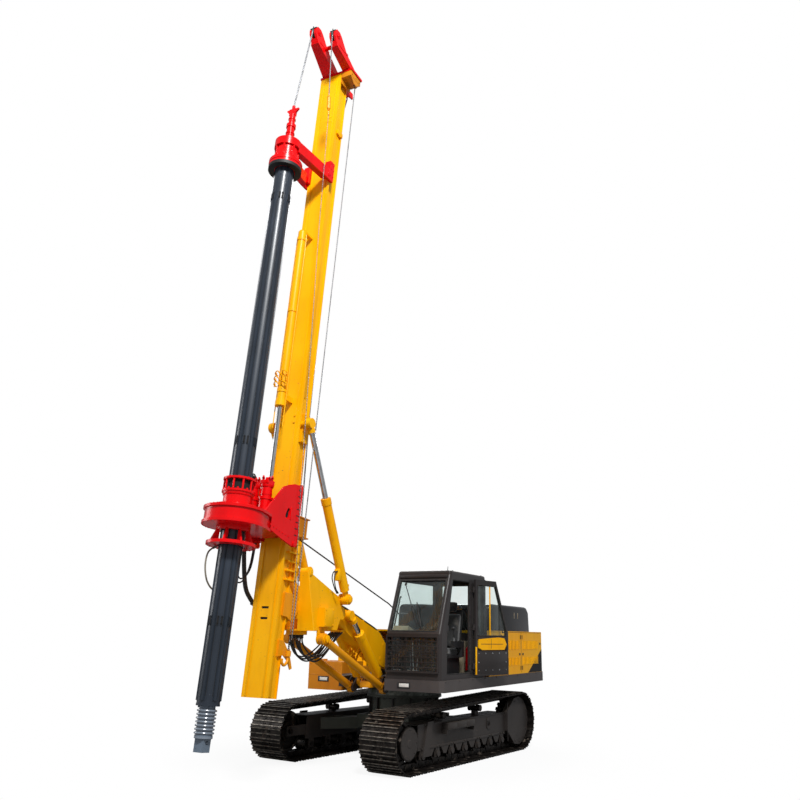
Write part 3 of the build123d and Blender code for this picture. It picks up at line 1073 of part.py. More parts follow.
def make_adapter():
    """Casing adapter: a neck ring, six raked struts and a wide lower flange."""
    top = (DRIVE_BOTTOM - ADAPTER_COLLAR, DRIVE_BOTTOM - SEAT)
    low = (ADAPTER_BOTTOM, ADAPTER_BOTTOM + 40)
    ring = round_z(kelly, ADAPTER_NECK, top)
    ring -= round_z(kelly, SLEEVE_RADIUS - 8 + SEAT, (top[0] - 1, top[1] + 1))
    ring += round_z(kelly, ADAPTER_RADIUS, low) - round_z(kelly, ADAPTER_BORE, (low[0] - 1, low[1] + 1))
    neck = ADAPTER_BORE + 4
    profile = ((neck, low[0] + 1), (ADAPTER_RADIUS - 8, low[0] + 1),
               (ADAPTER_NECK - 2, top[0] + 20), (neck, top[0] + 20))
    for i in range(8):
        ring += Pos(*kelly, 0) * Rot(0, 0, 45 * i + 20) * prism_yz(profile, (-11, 11))
    return ring


def make_carriage():
    x = (CARRIAGE_X, CARRIAGE_X + CARRIAGE_PLATE)
    outline = ((-1145, 950), (-1150, 1075), (-790, 1520), (-750, 1550), (-372, 1660), (-372, 800),
               (-470, 780), (-700, 830))
    plate = prism_yz(outline, x)
    hole = belt_x((-640, 1160), 42, (-620, 1240), 30, (x[0] - 1, x[1] + 1))
    plate -= hole
    for z in ((860, 1120), (1380, 1640)):
        plate += block((MAST_BOX_HALF + RUN, x[0] + 1), (MAST_FRONT + RAIL_THICK + SLIDE_FIT, -378), z)
        plate += block((MAST_BOX_HALF + RUN, x[0] + 1), (MAST_FRONT - 40, MAST_FRONT - SLIDE_FIT), z)
        plate += block((MAST_FLANGE_HALF + SLIDE_FIT, x[0] + 1), (MAST_FRONT - 40, -378), z)
    plate += round_x((-420, 815), 42, (x[0] - 12, x[1] + 14))
    room = belt(kelly, DRIVE_RADIUS + DRIVE_RIM + SEAT, DRIVE_BACK, DRIVE_BACK_RADIUS + DRIVE_RIM + SEAT)
    plate -= Pos(0, 0, DRIVE_BOTTOM - 20) * extrude(room, amount=DRIVE_TOP + SEAT - DRIVE_BOTTOM + 20,
                                                    dir=(0, 0, 1))
    body = plate + mirror(plate, about=Plane.YZ)
    body += block((-x[0] - 1, x[0] + 1), (MAST_FRONT - 40, MAST_FRONT - 14), (900, 1090))
    body += block((-x[0] - 1, x[0] + 1), (CROWD_Y + 60, CROWD_Y + 90), (DRIVE_TOP + SEAT, DRIVE_TOP + 40))
    return body


def make_motors():
    motors = []
    for x in (-112, 112):
        at = (x, -880)
        motor = round_z(at, 104, (DRIVE_TOP + SEAT, DRIVE_TOP + 30))
        motor += round_z(at, 88, (DRIVE_TOP + 29, 1330))
        motor += round_z(at, 100, (1329, 1360)) + round_z(at, 74, (1359, 1540))
        motor += block((x - 62, x + 62), (at[1] - 70, at[1] + 70), (1539, 1600))
        motor += round_z(at, 34, (1599, 1640))
        motors.append(motor)
    return motors


def make_guide():
    """Kelly guide: waisted collar round the kelly head, and two arms to the mast rails."""
    z0, z1 = GUIDE_BOTTOM, GUIDE_TOP
    bell = (z0 + GUIDE_RING, z0 + GUIDE_RING + 55)
    plate = (z1 - 130, z1)
    waist = GUIDE_PLATE_RADIUS - 30
    body = round_z(kelly, GUIDE_BELL_RADIUS - 6, (z0, bell[0] + 1))
    body += round_z(kelly, GUIDE_BELL_RADIUS, bell)
    body += round_z(kelly, waist, (bell[1] - 1, plate[0] + 1)) + round_z(kelly, GUIDE_PLATE_RADIUS, plate)
    inside = waist - 10
    profile = ((inside, bell[1] - 1), (GUIDE_BELL_RADIUS - 6, bell[1] - 1),
               (GUIDE_PLATE_RADIUS + 4, bell[1] + 60),
               (waist + 10, bell[1] + 140), (GUIDE_PLATE_RADIUS - 4, plate[0] + 1), (inside, plate[0] + 1))
    for i in range(8):
        body += Pos(*kelly, 0) * Rot(0, 0, 45 * i + 22.5) * prism_yz(profile, (-13, 13))
    claw = MAST_EYE[0] - MAST_EYE_BOSS - RUN
    clamp = (plate[0], plate[0] + GUIDE_CLAMP)
    for side in (-1, 1):
        plan = ((side * 120, KELLY_Y + 90), (side * 200, KELLY_Y + 20), (side * 262, MAST_FRONT - 120),
                (side * 262, claw), (side * 216, claw), (side * 216, MAST_FRONT - 60),
                (side * 150, MAST_FRONT - 130), (side * 100, KELLY_Y + 170))
        body += prism_xy(plan, (plate[0] - 60, plate[1] - 4))
        for y in ((MAST_FRONT + RAIL_THICK + SLIDE_FIT, claw), (MAST_FRONT - 70, MAST_FRONT - SLIDE_FIT)):
            body += block(sorted((side * (MAST_BOX_HALF + RUN), side * 250)), y, clamp)
        body += block(sorted((side * (MAST_FLANGE_HALF + SLIDE_FIT), side * 262)), (MAST_FRONT - 70, claw),
                      clamp)
    key_corner = hypot(KELLY_TUBE_RADIUS + KELLY_KEY_HEIGHT, KELLY_KEY_WIDTH / 2)
    body -= round_z(kelly, key_corner + SLIDE_FIT, (z0 - 1, z1 - 60))
    return body - round_z(kelly, SWIVEL_STEM + 32, (z1 - 61, z1 + 1))


def make_swivel():
    z = GUIDE_TOP
    swivel = round_z(kelly, SWIVEL_STEM, (z - 40, z + 340))
    swivel += round_z(kelly, SWIVEL_STEM + 14, (z + 300, z + 360))
    swivel += round_z(kelly, 48, (z + 359, z + 560))
    swivel += block((-52, 52), (KELLY_Y - 30, KELLY_Y + 30), (z + 540, z + 660))
    swivel += round_z(kelly, 90 + 60, (z + SEAT, z + 22))
    swivel += round_z(kelly, 26, (z + 659, z + 730))
    return swivel


def make_kelly_tube():
    top = GUIDE_TOP - 66
    tube = round_z(kelly, KELLY_TUBE_RADIUS, (KELLY_BOTTOM, top))
    for i in range(KELLY_KEYS):
        key = block((-KELLY_KEY_WIDTH / 2, KELLY_KEY_WIDTH / 2),
                    (KELLY_TUBE_RADIUS - 4, KELLY_TUBE_RADIUS + KELLY_KEY_HEIGHT),
                    (KELLY_BOTTOM + 60, top - 90))
        tube += Pos(*kelly, 0) * Rot(0, 0, 60 * i + 10) * key
    return tube - round_z(kelly, KELLY_TUBE_BORE, (KELLY_BOTTOM - 1, top + 1))


SPRING_TOP = KELLY_BOTTOM - 12.0
SPRING_BOTTOM = -1610.0


def make_kelly_bar():
    """Inner kelly bar: a long round tube, the spring seat, and the square stub."""
    bar = round_z(kelly, BAR_RADIUS, (SPRING_TOP - 20, BAR_TOP))
    bar -= round_z(kelly, BAR_RADIUS - BAR_WALL, (SPRING_TOP - 10, BAR_TOP + 1))
    for i in range(3):
        key = block((-16, 16), (BAR_RADIUS - 4, KELLY_TUBE_BORE - 2), (SPRING_TOP - 10, BAR_TOP))
        bar += Pos(*kelly, 0) * Rot(0, 0, 120 * i) * key
    bar += round_z(kelly, SPRING_CORE, (SPRING_BOTTOM, SPRING_TOP - 19))
    bar += round_z(kelly, SPRING_RADIUS - 14, (SPRING_BOTTOM - 40, SPRING_BOTTOM + 1))
    stub = block((-STUB_HALF, STUB_HALF), (KELLY_Y - STUB_HALF, KELLY_Y + STUB_HALF),
                 (STUB_BOTTOM, SPRING_BOTTOM - 39))
    stub -= round_x((KELLY_Y, STUB_BOTTOM + STUB_BORE_UP), STUB_BORE, (-STUB_HALF - 1, STUB_HALF + 1))
    return bar + stub


def make_spring():
    """Stack of spring rings between the tube's end and the stub."""
    count = 7
    pitch = (SPRING_TOP - SPRING_BOTTOM) / count
    stack = round_z(kelly, SPRING_RADIUS - 22, (SPRING_BOTTOM + 1 + SEAT, SPRING_TOP - 20 - SEAT))
    for i in range(count):
        z = SPRING_BOTTOM + 1 + SEAT + pitch * i
        top = min(z + pitch - 12, SPRING_TOP - 20 - SEAT)
        stack += round_z(kelly, SPRING_RADIUS, (z + 4, top))
    return stack - round_z(kelly, SPRING_CORE + SEAT, (SPRING_BOTTOM - 1, SPRING_TOP + 1))


BRACKET_REACH = 230.0
SADDLE_Z = (345.0, 850.0)
SADDLE_REACH = -96.0
SADDLE_UPPER_Z = (660.0, 850.0)   # the deeper part, clear above the triangle frame
SADDLE_UPPER_REACH = 30.0


def make_rope_guide():
    """Hoist rope bracket with its sheave cheeks, and the ladder-like hose saddle."""
    y0 = MAST_BACK + SEAT
    bracket = block((-80, 80), (y0, y0 + 20), (1000, 1330))
    for z in ((1020, 1036), (1296, 1312)):
        bracket += block((-80, 80), (y0 + 19, BRACKET_REACH), z)
    for side in (-1, 1):
        bracket += block(sorted((side * 54, side * 70)), (y0 + 19, BRACKET_REACH - 40), (1035, 1297))
    saddle = block((150, 166), (y0, SADDLE_REACH), SADDLE_Z) + block((60, 76), (y0, -150), SADDLE_Z)
    saddle += block((150, 166), (SADDLE_REACH - 1, SADDLE_UPPER_REACH), SADDLE_UPPER_Z)
    for z in spaced(SADDLE_Z[0], SADDLE_Z[1] - 16, 5):
        reach = SADDLE_UPPER_REACH if z >= SADDLE_UPPER_Z[0] else SADDLE_REACH
        saddle += block((60, 166), (y0, reach), (z, z + 16))
    return [bracket, saddle]


upright["mast"] = [make_mast()]
upright["mast_head"] = [make_head()]
upright["main_sheave"] = [make_sheave(MAIN_SHEAVE, SHEAVE_PIN)]
upright["aux_sheave"] = [make_sheave(AUX_SHEAVE, SHEAVE_PIN)]
upright["crowd_barrel"] = [make_crowd_barrel()]
upright["crowd_rod"] = [make_crowd_rod()]
upright["rope_guide"] = make_rope_guide()
upright["drive_gearbox"] = [make_gearbox()]
upright["drive_cage"] = [make_cage()]
upright["casing_adapter"] = [make_adapter()]
upright["drive_carriage"] = [make_carriage()]
upright["drive_motors"] = make_motors()
upright["kelly_guide"] = [make_guide()]
upright["rope_swivel"] = [make_swivel()]
upright["kelly_tube"] = [make_kelly_tube()]
upright["kelly_bar"] = [make_kelly_bar()]
upright["kelly_spring"] = [make_spring()]

lean = Pos(0, *HINGE) * Rot(-MAST_LEAN, 0, 0)
for node, solids in upright.items():
    parts[node] = [lean * solid for solid in solids]


# ---- one STEP file for each node ----
os.makedirs("parts", exist_ok=True)
for node, solids in parts.items():
    pieces = [solid for shape in solids for solid in shape.solids()]
    export_step(Compound(children=pieces) if len(pieces) > 1 else pieces[0], f"parts/{node}.step")
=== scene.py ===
import math

import bmesh
import bpy
from mathutils import Matrix, Vector


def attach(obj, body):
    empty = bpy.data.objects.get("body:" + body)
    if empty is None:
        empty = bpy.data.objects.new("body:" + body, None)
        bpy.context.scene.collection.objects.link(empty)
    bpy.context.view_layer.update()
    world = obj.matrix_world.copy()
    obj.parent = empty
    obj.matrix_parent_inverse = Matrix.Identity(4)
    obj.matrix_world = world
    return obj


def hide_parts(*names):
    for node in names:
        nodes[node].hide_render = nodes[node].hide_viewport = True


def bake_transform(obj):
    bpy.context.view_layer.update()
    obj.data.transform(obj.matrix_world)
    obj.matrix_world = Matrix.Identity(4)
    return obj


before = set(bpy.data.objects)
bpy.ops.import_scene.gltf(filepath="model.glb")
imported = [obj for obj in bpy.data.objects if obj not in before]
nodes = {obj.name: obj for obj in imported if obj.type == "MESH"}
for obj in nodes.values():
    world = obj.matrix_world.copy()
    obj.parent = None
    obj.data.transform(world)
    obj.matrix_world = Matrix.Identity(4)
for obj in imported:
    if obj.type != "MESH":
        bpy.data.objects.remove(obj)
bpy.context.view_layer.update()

# Viewpoint: a low standing eye about 14 m off the front left corner of the machine,
# looking slightly up at the mast on a normal 35 mm lens, with the head a little tilted.
EYE = Vector((6.807, -12.662, 1.95))
HEADING, RISE, ROLL = math.radians(27.81), math.radians(15.92), math.radians(1.04)
camera_data = bpy.data.cameras.new("eye")
camera_data.sensor_width = 36.0
camera_data.lens = 786.6 / 800 * 36.0
camera_data.shift_x = -0.0201
camera_data.shift_y = 0.0115
camera_data.clip_end = 200.0
camera = bpy.data.objects.new("eye", camera_data)
bpy.context.scene.collection.objects.link(camera)
ahead = Vector((-math.sin(HEADING) * math.cos(RISE), math.cos(HEADING) * math.cos(RISE), math.sin(RISE)))
level_right = Vector((math.cos(HEADING), math.sin(HEADING), 0.0))
level_up = level_right.cross(ahead)
right = level_right * math.cos(ROLL) + level_up * math.sin(ROLL)
above = level_up * math.cos(ROLL) - level_right * math.sin(ROLL)
camera.matrix_world = Matrix.Translation(EYE) @ Matrix((right, above, -ahead)).transposed().to_4x4()
bpy.context.scene.camera = camera


# Studio: a plain white floor that runs into a white backdrop, and three large soft lamps.
# The key hangs high over the front right of the picture, a weaker fill stands on the
# other side, and the sky fills the rest. The floor shows only a trace of the machine's shadow.
def linear(colour):
    """An sRGB hex colour as the linear values that shaders take."""
    channels = [int(colour[i:i + 2], 16) / 255 for i in (0, 2, 4)]
    return tuple(c / 12.92 if c <= 0.04045 else ((c + 0.055) / 1.055) ** 2.4 for c in channels) + (1.0,)


def add(material, kind, sockets=None, **settings):
    """Adds one shader node, with its settings, and its sockets filled or linked."""
    made = material.node_tree.nodes.new(kind)
    for name, value in settings.items():
        setattr(made, name, value)
    for name, value in (sockets or {}).items():
        if isinstance(value, bpy.types.NodeSocket):
            material.node_tree.links.new(value, made.inputs[name])
        else:
            made.inputs[name].default_value = value
    return made


def bare_material(name):
    material = bpy.data.materials.new(name)
    material.use_nodes = True
    material.node_tree.nodes.clear()
    return material


def seen_directly(material):
    """1 for rays from the eye, also through glass, and 0 for the rays that carry light."""
    ray = add(material, "ShaderNodeLightPath")
    return add(material, "ShaderNodeMath", {0: ray.outputs["Is Camera Ray"], 1: ray.outputs["Is Transmission Ray"]},
               operation="MAXIMUM").outputs[0]


def mixed(material, amount, first, second):
    """Two shaders, mixed by an amount."""
    return add(material, "ShaderNodeMixShader", {"Fac": amount, 1: first.outputs[0], 2: second.outputs[0]})


floor_white = bare_material("studio_floor_white_paint")
matt = add(floor_white, "ShaderNodeBsdfDiffuse", {"Color": linear("909090")})
bright = add(floor_white, "ShaderNodeEmission", {"Color": linear("ffffff"), "Strength": 1.0})
shadow = add(floor_white, "ShaderNodeBsdfDiffuse", {"Color": linear("e9e9e9")})
at = add(floor_white, "ShaderNodeTexCoord").outputs["Object"]
reach = add(floor_white, "ShaderNodeVectorMath", {0: at}, operation="LENGTH")
near = add(floor_white, "ShaderNodeMapRange", {"Value": reach.outputs["Value"], "From Min": 4.5, "From Max": 2.0,
                                               "To Max": 0.1}, interpolation_type="SMOOTHSTEP")
paper = mixed(floor_white, near.outputs[0], bright, shadow)
both = mixed(floor_white, seen_directly(floor_white), matt, paper)
add(floor_white, "ShaderNodeOutputMaterial", {"Surface": both.outputs[0]})

bm = bmesh.new()
bmesh.ops.create_circle(bm, cap_ends=True, radius=60.0, segments=64)
floor_mesh = bpy.data.meshes.new("floor")
bm.to_mesh(floor_mesh)
bm.free()
floor_mesh.materials.append(floor_white)
floor = bpy.data.objects.new("floor", floor_mesh)
bpy.context.scene.collection.objects.link(floor)

world = bpy.data.worlds.new("soft_sky")
bpy.context.scene.world = world
world.use_nodes = True
world.node_tree.nodes.clear()
backdrop = add(world, "ShaderNodeBackground", {"Color": linear("ffffff"), "Strength": 1.0})
sky_light = add(world, "ShaderNodeBackground", {"Color": linear("f2f5fa"), "Strength": 0.45})
sky = mixed(world, seen_directly(world), sky_light, backdrop)
add(world, "ShaderNodeOutputWorld", {"Surface": sky.outputs[0]})

for name, place, target, size, power in (
    ("key_lamp", (10.0, -14.0, 19.0), (0, -1.5, 4.5), 3.6, 5200.0),
    ("fill_lamp", (-16.0, -8.0, 7.0), (0, 0, 4.0), 8.0, 700.0),
    ("rim_lamp", (-6.0, 15.0, 13.0), (0, 0, 4.0), 6.0, 1100.0),
):
    lamp_data = bpy.data.lights.new(name, "AREA")
    lamp_data.shape = "DISK"
    lamp_data.size = size
    lamp_data.energy = power
    lamp = bpy.data.objects.new(name, lamp_data)
    lamp.location = place
    lamp.rotation_euler = (Vector(target) - Vector(place)).to_track_quat("-Z", "Y").to_euler()
    bpy.context.scene.collection.objects.link(lamp)
bpy.context.scene.view_settings.view_transform = "Standard"


# Crawler tracks: each is a closed chain of forged links with a rolled triple-grouser shoe
# bolted to every link. The shoes are bare dark steel, rubbed light along the grousers,
# with a little dry soil left between the bars.
def mottle(material, at, size_mm, detail, low, high):
    """A noise pattern of the given grain, stretched to run from 0 at low to 1 at high."""
    cloud = add(material, "ShaderNodeTexNoise", {"Vector": at, "Scale": 1000 / size_mm, "Detail": detail})
    spread = add(material, "ShaderNodeMapRange", {"Value": cloud.outputs["Fac"], "From Min": low, "From Max": high})
    return spread.outputs[0]


def blend_colours(material, amount, first, second):
    """Mixes two colours, each given as a hex string or as a socket."""
    mix = add(material, "ShaderNodeMix", {"Factor": amount}, data_type="RGBA")
    for slot, colour in ((6, first), (7, second)):
        if isinstance(colour, str):
            mix.inputs[slot].default_value = linear(colour)
        else:
            material.node_tree.links.new(colour, mix.inputs[slot])
    return mix.outputs[2]


def textured(name):
    """A bare material, and the Object coordinates that its patterns lie on."""
    material = bare_material(name)
    return material, add(material, "ShaderNodeTexCoord").outputs["Object"]


def between(material, share, low, high):
    """A value that runs from low to high with a share."""
    return add(material, "ShaderNodeMapRange", {"Value": share, "To Min": low, "To Max": high}).outputs[0]


def coated(material, height, strength, depth_mm, skin):
    """Ends a material with one skin, its sockets given, over a bump of the given height."""
    bump = add(material, "ShaderNodeBump", {"Height": height, "Strength": strength, "Distance": depth_mm / 1000})
    whole = add(material, "ShaderNodeBsdfPrincipled", {"Normal": bump.outputs[0], **skin})
    add(material, "ShaderNodeOutputMaterial", {"Surface": whole.outputs[0]})
    return material


def rough_steel(name, dark, light, soil, soil_share, roughness):
    """Forged or rolled steel that has worked in the ground."""
    material, place = textured(name)
    colour = blend_colours(material, mottle(material, place, 60, 5, 0.38, 0.62), dark, light)
    crust = mottle(material, place, 140, 8, 0.66 - soil_share, 0.72 - soil_share * 0.6)
    pits = add(material, "ShaderNodeTexNoise", {"Vector": place, "Scale": 260.0, "Detail": 4.0})
    return coated(material, pits.outputs["Fac"], 0.35, 2.0, {
        "Base Color": blend_colours(material, crust, colour, soil),
        "Roughness": between(material, crust, roughness, 0.95), "Metallic": between(material, crust, 0.75, 0.0)})


def slab(bm, x, y, z, chamfer=0.0):
    """A rectangular block between two corners, its edges bevelled by chamfer."""
    x = sorted(x)
    size = Matrix.Diagonal((x[1] - x[0], y[1] - y[0], z[1] - z[0], 1))
    middle = Matrix.Translation(((x[0] + x[1]) / 2, (y[0] + y[1]) / 2, (z[0] + z[1]) / 2))
    corners = bmesh.ops.create_cube(bm, size=1.0, matrix=middle @ size)["verts"]
    if chamfer:
        edges = list(dict.fromkeys(edge for corner in corners for edge in corner.link_edges))
        bmesh.ops.bevel(bm, geom=edges, offset=chamfer, segments=2, profile=0.5, affect="EDGES", material=-1,
                        clamp_overlap=True)
    return corners


def bar(bm, start, end, radius, sides=16, end_radius=None):
    """A round bar, or a cone, from one point to another."""
    start, end = Vector(start), Vector(end)
    run = end - start
    place = Matrix.Translation((start + end) / 2) @ run.to_track_quat("Z", "Y").to_matrix().to_4x4()
    far = radius if end_radius is None else end_radius
    return bmesh.ops.create_cone(bm, cap_ends=True, segments=sides, radius1=radius, radius2=far,
                                 depth=run.length, matrix=place)["verts"]


def post(bm, x, y, z, radius, sides=16, end_radius=None):
    """A bar that stands upright between two heights."""
    return bar(bm, (x, y, z[0]), (x, y, z[1]), radius, sides, end_radius)


def pin(bm, x, y, z, radius, sides=16, end_radius=None):
    """A bar that lies across the machine between two x."""
    return bar(bm, (x[0], y, z), (x[1], y, z), radius, sides, end_radius)


def merge(part, whole):
    """Moves a finished part into the shape that it belongs to."""
    scrap = bpy.data.meshes.new("scrap")
    part.to_mesh(scrap)
    part.free()
    whole.from_mesh(scrap)
    bpy.data.meshes.remove(scrap)


def finished(bm, name, material, body, place=None, smooth=32):
    """Closes a bmesh into a named object, which rides on a body if one is named."""
    if place is not None:
        bm.transform(place)
    bmesh.ops.recalc_face_normals(bm, faces=bm.faces)
    mesh = bpy.data.meshes.new(name)
    bm.to_mesh(mesh)
    bm.free()
    mesh.shade_smooth()
    mesh.set_sharp_from_angle(angle=math.radians(smooth))
    mesh.materials.append(material)
    piece = bpy.data.objects.new(name, mesh)
    bpy.context.scene.collection.objects.link(piece)
    if body:
        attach(piece, body)
    return piece


track_steel = rough_steel("forged_track_steel_with_dry_soil", "171412", "332d29", "5b5147", 0.05, 0.4)
PARKED = Matrix.Rotation(math.radians(-5.65), 4, "Z")
GAUGE_HALF, SHOE_HALF = 1.07, 0.32
IDLER, SPROCKET = (-1.83, 0.43), (1.755, 0.485)     # centre along the track, and radius over the grousers
SHOES = 53


def track_point(share):
    """Point and heading on the loop over the grousers, at a share of its length."""
    (y0, r0), (y1, r1) = IDLER, SPROCKET
    tilt = math.atan2(r1 - r0, y1 - y0)
    span = math.hypot(y1 - y0, r1 - r0)
    lift = math.asin((r1 - r0) / span)
    straight = math.sqrt(span ** 2 - (r1 - r0) ** 2)
    front, back = r0 * (math.pi - 2 * lift), r1 * (math.pi + 2 * lift)
    along = share * (2 * straight + front + back)
    run, heading, centre, radius = 0.0, tilt - lift, Vector((y0, r0)), r0
    if along < straight:
        run = along
    elif along < straight + back:
        heading += (along - straight) / r1
        centre, radius = Vector((y1, r1)), r1
    elif along < 2 * straight + back:
        heading = tilt + lift + math.pi
        run, centre, radius = along - straight - back, Vector((y1, r1)), r1
    else:
        heading = tilt + lift + math.pi + (along - 2 * straight - back) / r0
    outward = Vector((math.sin(heading), -math.cos(heading)))
    return centre + Vector((math.cos(heading), math.sin(heading))) * run + outward * radius, heading


grouser_edge = rough_steel("rubbed_grouser_edge_steel", "4d4741", "8b847a", "5b5147", 0.08, 0.38)
for side, name in ((1, "left"), (-1, "right")):
    bm, edges = bmesh.new(), bmesh.new()
    for i in range(SHOES):
        shoe, rubbed = bmesh.new(), bmesh.new()
        slab(shoe, (-SHOE_HALF, SHOE_HALF), (-0.09, 0.088), (-0.034, -0.022))
        slab(shoe, (-SHOE_HALF, SHOE_HALF), (0.076, 0.094), (-0.036, -0.016))
        for bar_y in (-0.078, -0.004, 0.066):
            slab(rubbed, (0.004 - SHOE_HALF, SHOE_HALF - 0.004), (bar_y - 0.0068, bar_y + 0.0068),
                 (-0.0035, -0.0004))
            ridge = slab(shoe, (-SHOE_HALF, SHOE_HALF), (bar_y - 0.011, bar_y + 0.011), (-0.025, -0.001))
            for corner in ridge:
                if corner.co.z > -0.01:
                    corner.co.y = bar_y + (corner.co.y - bar_y) * 0.55
        for x in (-0.075, -0.045, 0.045, 0.075):
            for y in (-0.041, 0.031):
                post(shoe, x, y, (-0.023, -0.01), 0.011, 6)
        for x in (-0.078, 0.05):
            slab(shoe, (x, x + 0.028), (-0.086, 0.098), (-0.122, -0.034), 0.006)
        pin(shoe, (-0.084, 0.084), 0.092, -0.085, 0.024, 10)
        at, heading = track_point((i + 0.5) / SHOES)
        place = Matrix.Translation((side * GAUGE_HALF, at.x, at.y)) @ Matrix.Rotation(heading, 4, "X") \
            @ Matrix.Rotation(math.pi, 4, "Y")
        for part, whole in ((shoe, bm), (rubbed, edges)):
            part.transform(PARKED @ place)
            merge(part, whole)
    for whole in (bm, edges):
        for corner in whole.verts:
            corner.co.z = max(corner.co.z, 0.0)
    finished(edges, f"{name}_grouser_edges", grouser_edge, "base")
    loop = finished(bm, f"{name}_track_shoes", track_steel, "base")
    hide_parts(f"{name}_track")


# Track frames, rollers and wheels: welded plate side frames in weathered grey-brown paint,
# with a bolted step, oval covers over the recoil spring, and cast guards between the
# rollers. The idlers and the final drive cases are castings with bolted covers.
def paint(material, *names):
    """Gives CAD pieces their finish."""
    for name in names:
        nodes[name].data.materials.clear()
        nodes[name].data.materials.append(material)


def bolt(bm, at, out, size):
    """A hexagon bolt head on its washer, standing along out."""
    at, out = Vector(at), Vector(out).normalized()
    bar(bm, at - out * size * 0.1, at + out * size * 0.22, size * 1.25, 12)
    bar(bm, at + out * size * 0.2, at + out * size * 0.85, size, 6)


def turns(count, offset=0.0):
    """Angles spaced evenly round a circle, the first a share of one step from zero."""
    return [2 * math.pi * (i + offset) / count for i in range(count)]


def bolt_ring(bm, centre, radius, angles, out, size):
    """Bolts round a circle that faces along X or Z."""
    x, y, z = centre
    for angle in angles:
        across, up = radius * math.cos(angle), radius * math.sin(angle)
        bolt(bm, (x, y + across, z + up) if out[0] else (x + across, y + up, z), out, size)


def enamel(name, colour, faded, shade, dust="8a7f6e", dusting=0.25, gloss=0.32, wear="5a4a3c", shine=0.25):
    """Sprayed two-pack machine enamel over primer: even colour that has faded in patches,
    dust lying on what faces up, run-down streaks, and small chips to dark primer."""
    material, place = textured(name)
    tone = blend_colours(material, mottle(material, place, 900, 3, 0.35, 0.65), colour, faded)
    streak_place = add(material, "ShaderNodeMapping", {"Vector": place, "Scale": (1.0, 1.0, 0.25)})
    streaks = mottle(material, streak_place.outputs[0], 150, 5, 0.5, 0.8)
    streaks = add(material, "ShaderNodeMath", {0: streaks, 1: 0.28}, operation="MULTIPLY").outputs[0]
    tone = blend_colours(material, streaks, tone, shade)
    facing = add(material, "ShaderNodeNewGeometry")
    up = add(material, "ShaderNodeSeparateXYZ", {"Vector": facing.outputs["Normal"]})
    lying = add(material, "ShaderNodeMapRange", {"Value": up.outputs["Z"], "From Min": 0.25, "From Max": 1.0,
                                                 "To Max": dusting})
    film = add(material, "ShaderNodeMath", {0: mottle(material, place, 180, 6, 0.3, 0.7), 1: lying.outputs[0]},
               operation="MULTIPLY").outputs[0]
    tone = blend_colours(material, film, tone, dust)
    chips = mottle(material, place, 26, 9, 0.705, 0.72)
    peel = add(material, "ShaderNodeTexNoise", {"Vector": place, "Scale": 190.0, "Detail": 2.0})
    return coated(material, peel.outputs["Fac"], 0.06, 1.0, {
        "Base Color": blend_colours(material, chips, tone, wear), "Roughness": between(material, film, gloss, 0.85),
        "Coat Weight": 0.2 * shine, "Coat Roughness": 0.15, "Specular IOR Level": shine})


